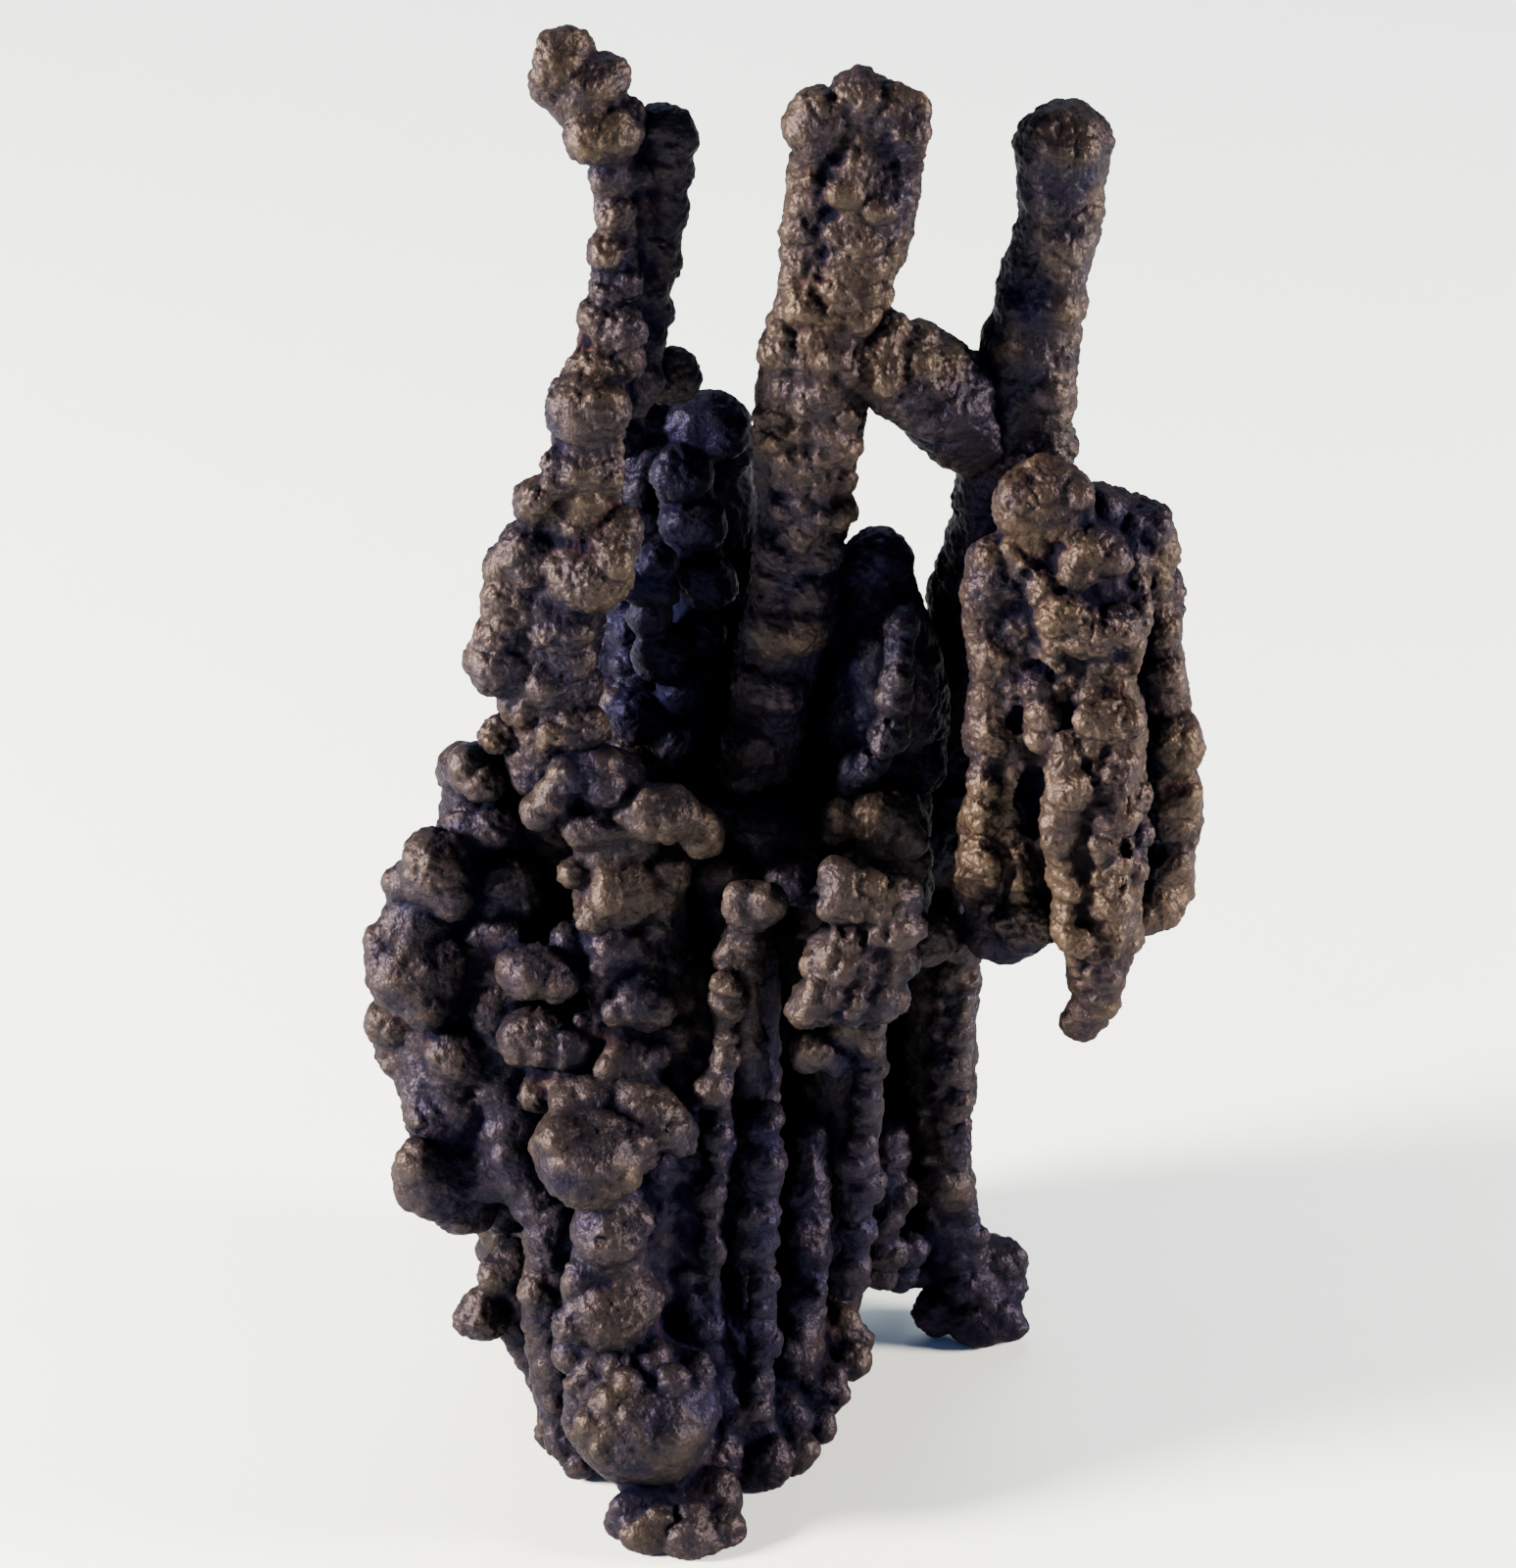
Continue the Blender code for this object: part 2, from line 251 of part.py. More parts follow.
            (618, 812, 17.6, 26, "k"), (606, 846, 17, 32, "r", 1.1, 0.8), (575, 862, 17.8, 22, "r", 1.2, 0.8), (645, 865, 16.4, 26, "r", 1.3, 0.7),
            (672, 834, 17.0, 43, "P", 1.0, 0.8), (650, 834, 17.2, 32, "s"), (712, 850, 17.4, 28, "s"), (664, 816, 16.6, 22, "b"), (686, 885, 15.8, 24, "s"),
            (622, 918, 15.6, 30, "r", 0.9, 1.0), (650, 905, 15.4, 26, "r"), (646, 935, 15.4, 22, "r"), (585, 892, 16.6, 17, "b"), (600, 940, 16.2, 20, "b"),
            (679, 924, 15.8, 26, "s", 0.9, 1.1), (668, 950, 16, 22, "k"), (582, 965, 16.4, 18, "s", 0.9, 1.2), (632, 972, 14.8, 29, "b", 1.0, 0.9), (612, 990, 15.2, 18, "r"),
            (660, 985, 15.2, 26, "k"), (651, 1025, 13.8, 35, "s", 1.0, 0.74), (628, 1040, 14.2, 16, "b"), (640, 1080, 13, 31, "s", 1.0, 0.95), (618, 1088, 13, 16, "b"),
            (664, 1000, 14.8, 22, "k"), (605, 1045, 14.8, 22, "k"), (765, 925, 14.8, 29, "s"), (752, 915, 14.6, 18, "s"), (790, 925, 17, 24, "k"), (755, 945, 15, 18, "b"), (735, 935, 16.6, 18, "k"),
            (703, 976, 14.6, 14, "s"), (700, 1000, 15, 13, "s"), (688, 985, 16.4, 16, "k"), (740, 974, 13.6, 19, "b"), (738, 1006, 13.6, 16, "s"), (755, 990, 14.4, 20, "s"), (782, 850, 23.6, 42, "s"),
            (740, 838, 24.4, 34, "s"), (812, 868, 23, 24, "s"), (798, 898, 19, 22, "b"), (838, 918, 16, 14, "s"), (818, 905, 18, 18, "k"), (725, 890, 21.4, 28, "k"), (750, 885, 21, 22, "k"),
            (690, 1060, 16.6, 28, "k"), (700, 1110, 15.6, 28, "k"), (715, 1050, 17.2, 22, "k"), (700, 1020, 17, 20, "k"), (672, 1075, 15.6, 20, "k"),
            # nodule under the inner stalk
            (908, 842, 22, 43, "s"), (893, 838, 21.2, 34, "r"), (858, 832, 20.8, 13, "b"), (853, 850, 20.8, 12, "b"), (866, 866, 20.8, 13, "b"), (882, 876, 21, 14, "b"), (925, 880, 22, 28, "k"),
            (930, 862, 22.4, 26, "s"),
            # rough plate
            (872, 914, 14.6, 36, "V", 1.0, 0.9), (905, 938, 14.6, 40, "V", 0.9, 1.2), (880, 952, 14.0, 42, "V", 1.1, 1.0), (926, 912, 15, 28, "k"), (862, 975, 13.2, 44, "V", 1.0, 1.1, 25), (896, 985, 13.4, 42, "V", 0.8, 1.2, 20), (838, 1012, 12.8, 34, "V", 0.7, 1.2, 35),
            (868, 1018, 12.8, 30, "V"), (900, 1012, 13.4, 28, "V"), (928, 950, 13.4, 24, "b"), (926, 985, 13, 20, "b"), (815, 1040, 12, 14, "v"), (830, 1035, 11.8, 16, "v"),
            (848, 905, 13.6, 22, "b"), (890, 898, 13.8, 22, "b"), (836, 1070, 16, 24, "k"), (855, 1085, 16.4, 20, "k"), (820, 1085, 17, 18, "k"), (912, 1020, 14, 20, "v"), (950, 960, 19.4, 30, "k"),
            (825, 985, 13.4, 18, "b"), (858, 890, 14.4, 18, "b"),
            # big nodules at the lower front
            (600, 1178, 8.2, 60, "P", 0.98, 0.96, 0, 1.0), (566, 1160, 8.2, 28, "s"), (640, 1168, 8.4, 34, "s"), (604, 1122, 11.2, 38, "B", 1.2, 0.7), (674, 1142, 10.4, 46, "P", 0.55, 1.0, -42, 0.8), (600, 1118, 10.6, 29, "b", 1.3, 0.9), (640, 1118, 10.4, 28, "b"), (574, 1126, 10.6, 20, "r"),
            (652, 1166, 7, 15, "s"), (675, 1185, 10, 22, "s"), (660, 1200, 9.8, 24, "k"), (552, 1180, 10.6, 14, "b"),
            (621, 1260, 7.6, 42, "P", 1.0, 0.88, 0, 1.0), (608, 1272, 6.4, 20, "P"), (642, 1250, 7.6, 24, "P"), (556, 1270, 10.6, 21, "s", 0.9, 1.1), (578, 1268, 10, 20, "s"), (556, 1290, 10.6, 14, "b"),
            (623, 1328, 7.6, 53, "P", 1.0, 0.88, 0, 1.0), (598, 1312, 7.0, 26, "P"), (552, 1335, 10.6, 25, "s", 1.0, 1.25), (544, 1322, 10.8, 18, "s"), (588, 1300, 9.6, 20, "s"),
            (580, 1355, 9.4, 22, "b"), (505, 1305, 15.4, 25, "k"), (487, 1337, 16.2, 18, "s"), (492, 1322, 16, 16, "k"), (508, 1342, 16, 20, "k"), (531, 1366, 15.2, 20, "k"), (685, 1230, 10, 20, "s", 0.95, 1.15),
            (672, 1206, 10.4, 12, "s"), (700, 1205, 11, 16, "s"), (655, 1438, 6.6, 80, "P", 1.0, 0.95, 0, 1.0), (590, 1384, 7.4, 24, "P"), (605, 1398, 6.0, 19, "P", 1.0, 1.0, 0, 1.0), (634, 1394, 5.1, 18, "P", 1.0, 1.0, 0, 1.0), (667, 1388, 5.6, 21, "P", 1.0, 1.0, 0, 1.0), (644, 1412, 3.4, 15, "P", 1.0, 1.0, 0, 1.0), (592, 1416, 5.3, 16, "P", 1.0, 1.0, 0, 1.0), (607, 1446, 3.0, 19, "P", 1.0, 1.0, 0, 1.0), (626, 1428, 2.9, 15, "P", 1.0, 1.0, 0, 1.0), (648, 1440, 2.1, 17, "P", 1.0, 1.0, 0, 1.0), (588, 1458, 4.0, 14, "P", 1.0, 1.0, 0, 1.0), (712, 1398, 6.7, 22, "P", 1.0, 1.0, 0, 1.0), (620, 1472, 2.1, 18, "P", 1.0, 1.0, 0, 1.0), (690, 1412, 4.1, 18, "P", 1.0, 1.0, 0, 1.0),
            
            (712, 1430, 8.4, 22, "b"), (562, 1398, 11.4, 18, "s"), (567, 1436, 11.6, 18, "s"), (572, 1476, 12.4, 20, "s"), (720, 1278, 10.6, 19, "b", 0.9, 1.15), (690, 1552, 3.6, 56, "K", 1.12, 0.72),
            (650, 1535, 4.2, 27, "b"), (643, 1556, 3.0, 24, "S"), (728, 1530, 4.6, 34, "b"), (700, 1574, 0.7, 29, "S"), (738, 1560, 2.4, 27, "S"), (664, 1566, 1.4, 29, "S"), (718, 1572, 1.4, 25, "S"), (648, 1545, 3.4, 26, "K"), (712, 1545, 1.8, 22, "b"), (672, 1545, 1.6, 20, "b"),
            # lower right edge
            (765, 1474, 11.2, 34, "b"), (775, 1500, 9.4, 26, "K"), (800, 1486, 11.6, 24, "K"), (795, 1448, 14.8, 38, "k"), (815, 1408, 18.2, 34, "k"), (842, 1362, 22.6, 30, "k"), (850, 1322, 24.6, 26, "k"), (740, 1492, 9.8, 30, "b"), (752, 1450, 10.4, 22, "b"),
            (800, 1382, 15.8, 20, "s"), (832, 1420, 15.6, 21, "s"), (842, 1436, 16.8, 20, "k"), (815, 1472, 13.2, 26, "k"), (788, 1492, 10.8, 25, "k"), (868, 1360, 22.6, 20, "k"), (850, 1404, 18, 22, "B"), (768, 1508, 9, 22, "K"), (866, 1385, 20.4, 20, "K"), (858, 1420, 17.4, 18, "K"), (836, 1452, 15, 20, "K"), (872, 1362, 22.4, 18, "K"), (815, 1328, 17.6, 24, "b"), (803, 1312, 17.8, 14, "s"), (860, 1345, 22, 20, "b"), (811, 1222, 19.4, 21, "s"), (808, 1260, 19, 19, "b"), (826, 1285, 20, 20, "k"),
            (860, 1300, 19.6, 18, "b"), (895, 1290, 21.6, 13, "s"), (905, 1250, 21.8, 22, "b"), (892, 1210, 20.8, 17, "k"), (922, 1222, 23.6, 22, "b"), (896, 1185, 21.4, 14, "s"), (882, 1310, 21.6, 14, "k"),
            (590, 1500, 10.6, 20, "k"), (568, 1460, 14.6, 18, "k"), (932, 1160, 27, 16, "b"), (935, 1200, 26.6, 18, "b"),
            # right strip and right foot
            (966, 965, 25.6, 20, "b"), (988, 1010, 25.6, 15, "s", 0.9, 1.7), (972, 1000, 24.8, 18, "r"), (960, 1040, 25, 20, "r"), (980, 1045, 25.6, 18, "b"), (972, 1082, 26, 16, "b"), (962, 1100, 26.4, 18, "b"),
            (978, 1130, 27.2, 17, "b"), (970, 1155, 27.4, 18, "b"), (972, 1185, 28, 18, "b"), (966, 1215, 28.4, 20, "b"), (990, 1240, 30.4, 18, "s"), (948, 1180, 27.6, 16, "b"), (1018, 1286, 31.6, 31, "S"),
            (1022, 1316, 31, 28, "S"), (1018, 1344, 29.4, 29, "K"), (990, 1348, 28.8, 25, "S"), (960, 1338, 29.6, 26, "S"), (1030, 1352, 29.2, 22, "S"), (956, 1280, 31.6, 16, "s"), (976, 1288, 30.8, 15, "s"), (998, 1266, 32.4, 18, "k"),
            (946, 1302, 31, 14, "S"), (925, 1274, 27.5, 24, "K"), (905, 1276, 25, 24, "K"), (940, 1296, 30.6, 20, "K"), (920, 1300, 28, 20, "K"), (898, 1300, 25, 18, "K"), (964, 1255, 31.2, 20, "b"), (948, 1262, 31.4, 12, "b"), (1004, 1354, 28.8, 24, "S"), (982, 1316, 29.6, 20, "b"),
        ],
        "rows": [
            ("b", 1.7, [(738, 1090, 12.2, 13), (733, 1180, 11.2, 13), (726, 1262, 10.4, 13)]),
            ("b", 1.55, [(784, 1150, 11.9, 16), (780, 1250, 11.4, 15), (776, 1360, 10.9, 16), (770, 1440, 10.2, 18)]),
            ("b", 1.6, [(768, 1160, 12.8, 13), (764, 1260, 12.2, 13), (762, 1350, 11.8, 14)]),
            ("b", 1.55, [(890, 1050, 14, 16), (884, 1120, 14.3, 17), (876, 1190, 14.6, 16), (868, 1260, 15, 14)]),
            ("r", 1.25, [(986, 965, 23, 13), (990, 1005, 23.4, 13), (984, 1055, 24, 12), (979, 1120, 25.4, 12), (981, 1190, 27, 12)]),
            ("r", 1.35, [(962, 985, 23, 14), (956, 1055, 24, 13), (958, 1130, 25.4, 13), (960, 1215, 27, 13)]),
            ("b", 1.6, [(940, 1130, 27, 10), (942, 1180, 28, 11), (946, 1240, 29, 12)]),
            ("b", 1.6, [(981, 1060, 27, 12), (979, 1110, 27.6, 11), (983, 1150, 28.2, 12), (981, 1225, 29.2, 12)]),
            ("b", 1.6, [(750, 1010, 12.4, 14), (748, 1080, 12.2, 12)]),
            ("k", 1.4, [(700, 1300, 11.4, 17), (712, 1360, 11, 18)]),
        ],
    },
}

# --- how the solids are made ------------------------------------------------
VOXEL = 0.0007            # grid of the voxel remesh that fuses the nodules
EASE_STEPS = 2            # smoothing passes that take the grid's steps off
CLEARANCE = 0.00055       # growth of a neighbour before it is cut away at a fork
FORK_GAP = 0.0003         # gap left under the flat end of a stem
SMALLEST = 15.0           # nodules below this many sheet units are left off
KNOB_STEP = 0.95          # spacing of the rings of nodules on a knobby stem, in radii
KNOBS_ROUND = 3           # nodules in each ring
MM = 0.001

# Each piece in the order it is cut, with the height in mm of the flat fork
# face at its foot (None where it meets its neighbours all round), the number
# of triangles it is brought down to, its neighbours and its colour.
PIECES = [
    ("middle_stalk", 54.5, 760, (), (0.105, 0.090, 0.075)),
    ("right_stalk", 53.4, 680, (), (0.100, 0.088, 0.080)),
    ("left_stalk", 60.0, 1250, (), (0.110, 0.094, 0.078)),
    ("inner_stalk", 55.7, 560, ("middle_stalk", "right_stalk"), (0.085, 0.078, 0.080)),
    ("cross_branch", None, 240, ("middle_stalk", "right_stalk"), (0.105, 0.092, 0.078)),
    ("hanging_cluster", None, 1250, ("right_stalk", "cross_branch", "inner_stalk"), (0.112, 0.095, 0.078)),
    ("back_left_stalk", 53.5, 700, ("left_stalk", "middle_stalk"), (0.080, 0.072, 0.075)),
    ("base_cluster", 0.0, 3500, ("middle_stalk", "right_stalk", "left_stalk", "inner_stalk", "back_left_stalk", "hanging_cluster"), (0.100, 0.086, 0.074)),
]


def clear_scene():
    for obj in list(bpy.data.objects):
        bpy.data.objects.remove(obj, do_unlink=True)


def collection(name, shown=True):
    made = bpy.data.collections.new(name)
    bpy.context.scene.collection.children.link(made)
    made.hide_render = not shown
    return made


def material(name, colour):
    made = bpy.data.materials.new(name)
    made.use_nodes = True
    shader = made.node_tree.nodes["Principled BSDF"]
    shader.inputs["Base Color"].default_value = (*colour, 1.0)
    shader.inputs["Roughness"].default_value = 0.48
    shader.inputs["Metallic"].default_value = 0.25
    return made


def evaluated_mesh(obj):
    """The object's mesh with its modifiers, or its bevel, made real."""
    bpy.context.view_layer.update()
    graph = bpy.context.evaluated_depsgraph_get()
    return bpy.data.meshes.new_from_object(obj.evaluated_get(graph))


def scratch(name, data, where):
    obj = bpy.data.objects.new(name, data)
    where.objects.link(obj)
    obj.hide_render = True
    obj.display_type = "WIRE"
    return obj


def stem_mesh(stations, grow, where):
    """A tapering stem through the stations: a bevelled curve with filled caps, welded."""
    points = []
    for across, down, depth, radius in stations:
        spot, unit = place(across, down, depth)
        points.append((Vector(spot) * MM, radius * unit * MM + grow))
    # both ends run on by half a radius, so that the caps lie inside the round end lobes
    curve = bpy.data.curves.new("stem", "CURVE")
    curve.dimensions = "3D"
    curve.bevel_depth = 1.0
    curve.bevel_resolution = 3
    curve.use_fill_caps = True
    spline = curve.splines.new("POLY")
    spline.points.add(len(points) - 1)
    for target, (spot, radius) in zip(spline.points, points):
        target.co = (*spot, 1.0)
        target.radius = radius
    obj = scratch("stem", curve, where)
    mesh = evaluated_mesh(obj)
    bpy.data.objects.remove(obj, do_unlink=True)
    bpy.data.curves.remove(curve)
    return mesh, points


def knobs(stations, seed):
    """Nodules set round a knobby stem: a few at each step along it, at seeded angles."""
    rng = Random(seed)
    ends = []
    for across, down, depth, radius in stations:
        spot, unit = place(across, down, depth)
        ends.append((Vector(spot), radius * unit))
    made = []
    for (a, ra), (b, rb) in zip(ends, ends[1:]):
        along = (b - a).normalized()
        side = along.orthogonal().normalized()
        steps = max(1, round((b - a).length / (0.5 * (ra + rb) * KNOB_STEP)))
        for n in range(steps):
            t = (n + 0.5) / steps
            r = ra + (rb - ra) * t
            turn = rng.uniform(0.0, 2.0 * pi)
            for k in range(KNOBS_ROUND):
                angle = turn + 2.0 * pi * k / KNOBS_ROUND + rng.uniform(-0.5, 0.5)
                size = r * rng.uniform(0.48, 0.74)
                out = Matrix.Rotation(angle, 3, along) @ side
                spot = a.lerp(b, t) + out * r * 0.66 + along * r * rng.uniform(-0.4, 0.4)
                made.append((spot, size))
    return made


def beads_of(rows):
    """The beads of each row: (across, down, depth, radius), spaced by the radius."""
    made = []
    for _, ratio, stations in rows:
        for a, b in zip(stations, stations[1:]):
            reach = hypot(b[0] - a[0], b[1] - a[1])
            n = max(1, round(reach / (ratio * 0.5 * (a[3] + b[3]))))
            for k in range(n + (b is stations[-1])):
                made.append(tuple(a[i] + (b[i] - a[i]) * k / n for i in range(4)))
    return made


def growth_mesh(name, grow, target, where):
    """Every stem and lobe of one piece fused by a voxel remesh and thinned out."""
    shape = SHAPES[name]
    bm = bmesh.new()
    for number, (style, stations) in enumerate(shape["cores"]):
        if style == "K":
            for spot, r in knobs(stations, number):
                bmesh.ops.create_icosphere(bm, subdivisions=2, radius=r * MM + grow, matrix=Matrix.Translation(spot * MM))
        mesh, points = stem_mesh(stations, grow, where)
        bm.from_mesh(mesh)
        bpy.data.meshes.remove(mesh)
        for spot, radius in (points[0], points[-1]):
            bmesh.ops.create_icosphere(bm, subdivisions=2, radius=radius, matrix=Matrix.Translation(spot))
    bmesh.ops.remove_doubles(bm, verts=bm.verts, dist=1e-6)
    lobes = [(*lobe[:4], *(lobe[5:] + (1.0, 1.0, 0.0, 0.85)[len(lobe) - 5:])) for lobe in shape["lobes"]]
    lobes += [(*bead, 1.0, 1.0, 0.0, 1.0) for bead in beads_of(shape.get("rows", []))]
    for across, down, depth, radius, wide, tall, lean, deep in lobes:
        if radius < SMALLEST:
            continue
        spot, unit = place(across, down, depth)
        r = radius * unit * MM
        turn = Matrix.Rotation(radians(lean), 4, "Y")
        size = Matrix.Diagonal((r * wide + grow, r * deep + grow, r * tall + grow, 1.0))
        bmesh.ops.create_icosphere(bm, subdivisions=2, radius=1.0, matrix=Matrix.Translation(Vector(spot) * MM) @ turn @ size)
    rough = bpy.data.meshes.new(name + "_rough")
    bm.to_mesh(rough)
    bm.free()
    obj = scratch(name + "_rough", rough, where)
    fuse = obj.modifiers.new("fuse", "REMESH")
    fuse.mode = "VOXEL"
    fuse.voxel_size = VOXEL
    fuse.adaptivity = 0.0
    ease = obj.modifiers.new("ease", "SMOOTH")
    ease.factor = 0.5
    ease.iterations = EASE_STEPS
    fused = evaluated_mesh(obj)
    bpy.data.objects.remove(obj, do_unlink=True)
    obj = scratch(name + "_fused", fused, where)
    faces = 2 * len(fused.polygons)
    if target < faces:
        thin = obj.modifiers.new("thin", "DECIMATE")
        thin.ratio = target / faces
        thin.use_collapse_triangulate = True
    thinned = evaluated_mesh(obj)
    bpy.data.objects.remove(obj, do_unlink=True)
    return thinned


def block(name, low, high, where):
    bpy.ops.mesh.primitive_cube_add(size=1.0, location=[(a + b) / 2 for a, b in zip(low, high)])
    obj = bpy.context.object
    obj.name = name
    obj.scale = [b - a for a, b in zip(low, high)]
    for home in list(obj.users_collection):
        home.objects.unlink(obj)
    where.objects.link(obj)
    bpy.ops.object.select_all(action="DESELECT")
    obj.hide_render = True
    obj.display_type = "WIRE"
    return obj


def carve(mesh, name, steps, where):
    """The mesh after a run of Booleans, each (operation, other object)."""
    obj = scratch(name + "_carved", mesh, where)
    for n, (operation, other) in enumerate(steps):
        cut = obj.modifiers.new(f"cut_{n}", "BOOLEAN")
        cut.operation = operation
        cut.object = other
    made = evaluated_mesh(obj)
    bpy.data.objects.remove(obj, do_unlink=True)
    return made


def keep_largest(mesh):
    """Drops every loose crumb that a cut leaves beside the main body."""
    bm = bmesh.new()
    bm.from_mesh(mesh)
    bmesh.ops.triangulate(bm, faces=bm.faces)
    bmesh.ops.remove_doubles(bm, verts=bm.verts, dist=2e-6)
    bmesh.ops.dissolve_degenerate(bm, edges=bm.edges, dist=2e-6)
    seen, bodies = set(), []
    for first in bm.verts:
        if first in seen:
            continue
        seen.add(first)
        body, rim = [first], [first]
        while rim:
            at = rim.pop()
            for edge in at.link_edges:
                far = edge.other_vert(at)
                if far not in seen:
                    seen.add(far)
                    body.append(far)
                    rim.append(far)
        bodies.append(body)
    bodies.sort(key=len)
    loose = [vert for body in bodies[:-1] for vert in body]
    if loose:
        bmesh.ops.delete(bm, geom=loose, context="VERTS")
    bmesh.ops.triangulate(bm, faces=bm.faces)
    bm.to_mesh(mesh)
    bm.free()


def main():
    clear_scene()
    specimen = collection("manganese_oxide_specimen")
    cutters = collection("cutters")
    root = bpy.data.objects.new("specimen_frame", None)
    specimen.objects.link(root)
    clearances = {}
    far = 0.2
    wanted = {other for piece in PIECES for other in piece[3]}
    for name, foot, target, neighbours, colour in PIECES:
        mesh = growth_mesh(name, 0.0, target, cutters)
        steps, helpers = [], []
        if foot is not None:
            above = block(name + "_above", (-far, -far, foot * MM), (far, far, far), cutters)
            helpers.append(above)
            steps.append(("INTERSECT", above))
        steps += [("DIFFERENCE", clearances[other]) for other in neighbours]
        mesh = carve(mesh, name, steps, cutters)
        keep_largest(mesh)
        piece = bpy.data.objects.new(name, mesh)
        mesh.materials.clear()
        mesh.materials.append(material(name, colour))
        specimen.objects.link(piece)
        piece.parent = root
        mesh.shade_smooth()
        mesh.set_sharp_from_angle(angle=radians(50))
        if name in wanted:
            grown = growth_mesh(name, CLEARANCE, target, cutters)
            if foot is not None:
                under = block(name + "_under", (-far, -far, foot * MM - FORK_GAP), (far, far, far), cutters)
                helpers.append(under)
                grown = carve(grown, name, [("INTERSECT", under)], cutters)
            keep_largest(grown)
            clearances[name] = scratch(name + "_clearance", grown, cutters)
        for helper in helpers:
            bpy.data.objects.remove(helper, do_unlink=True)


main()
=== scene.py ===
"""The finish of the manganese oxide specimen: every stalk, lobe and bead is built up
as one distance field for each piece and meshed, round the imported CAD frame."""

import time
from math import cos, hypot, pi, radians, sin
from random import Random

import bpy
import numpy as np
from mathutils import Matrix, Vector


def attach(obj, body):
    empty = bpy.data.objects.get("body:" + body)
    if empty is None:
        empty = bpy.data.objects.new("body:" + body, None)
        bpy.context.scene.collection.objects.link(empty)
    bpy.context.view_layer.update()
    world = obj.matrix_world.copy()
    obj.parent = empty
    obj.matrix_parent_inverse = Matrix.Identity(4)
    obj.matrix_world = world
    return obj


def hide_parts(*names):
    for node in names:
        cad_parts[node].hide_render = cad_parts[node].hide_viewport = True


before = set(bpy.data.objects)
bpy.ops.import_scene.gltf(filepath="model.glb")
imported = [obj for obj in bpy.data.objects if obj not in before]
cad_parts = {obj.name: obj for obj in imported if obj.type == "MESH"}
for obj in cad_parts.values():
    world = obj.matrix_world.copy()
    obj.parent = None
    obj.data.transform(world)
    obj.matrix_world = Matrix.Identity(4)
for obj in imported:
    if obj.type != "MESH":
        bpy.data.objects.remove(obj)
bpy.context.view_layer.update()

T0 = time.time()


def note(text):
    print(f"[{time.time() - T0:6.1f} s] {text}", flush=True)


# ---------------------------------------------------------------------------
# Layout sheet.  The specimen is set out on a drawing sheet that leans back by
# LEAN_DEG, as drawn from a station point STATION_UNITS in front of it.  A position
# is given as (across, down, depth): across and down in sheet units, and depth
# in millimetres behind the foremost foot, measured along +Y.
# ---------------------------------------------------------------------------
UNIT_MM = 0.075           # one sheet unit at the middle of the specimen
LEAN_DEG = 30.0           # how far the line of sight points down
STATION_UNITS = 5333.3    # distance of the station point, in sheet units
SHEET_MID = (773.5, 800.0)            # sheet position of the aim point
AIM_MM = (0.0, 18.0, 60.0)            # the same aim point in the specimen
CENTRE_MM = (1.83, 22.93)             # middle of the specimen's box in X, Y

_E = radians(LEAN_DEG)
_UP = (0.0, sin(_E), cos(_E))
_FORWARD = (0.0, cos(_E), -sin(_E))
_REACH = UNIT_MM * STATION_UNITS
_EYE = tuple(AIM_MM[i] - _FORWARD[i] * _REACH for i in range(3))


def place(across, down, depth):
    """Sheet position and depth to (x, y, z) in mm and the size there of one unit."""
    a = (across - SHEET_MID[0]) / STATION_UNITS
    b = (SHEET_MID[1] - down) / STATION_UNITS
    ray = (a, _FORWARD[1] + b * _UP[1], _FORWARD[2] + b * _UP[2])
    t = (depth - _EYE[1]) / ray[1]
    point = tuple(_EYE[i] + t * ray[i] for i in range(3))
    return (point[0] - CENTRE_MM[0], point[1] - CENTRE_MM[1], point[2]), t / STATION_UNITS

# Each core is a style letter and the stations (across, down, depth, radius)
# of a tapering stem.  Each lobe is (across, down, depth, radius, style) with,
# where it is not the usual form, its width, its height, its lean in degrees and
# its depth, as shares of the radius.  Each bead row is (style, spacing as a share
# of the radius, stations): nodules in a line.  Styles: s smooth, b beaded,
# k knobby, r rough, w ringed, v ridged up and down.

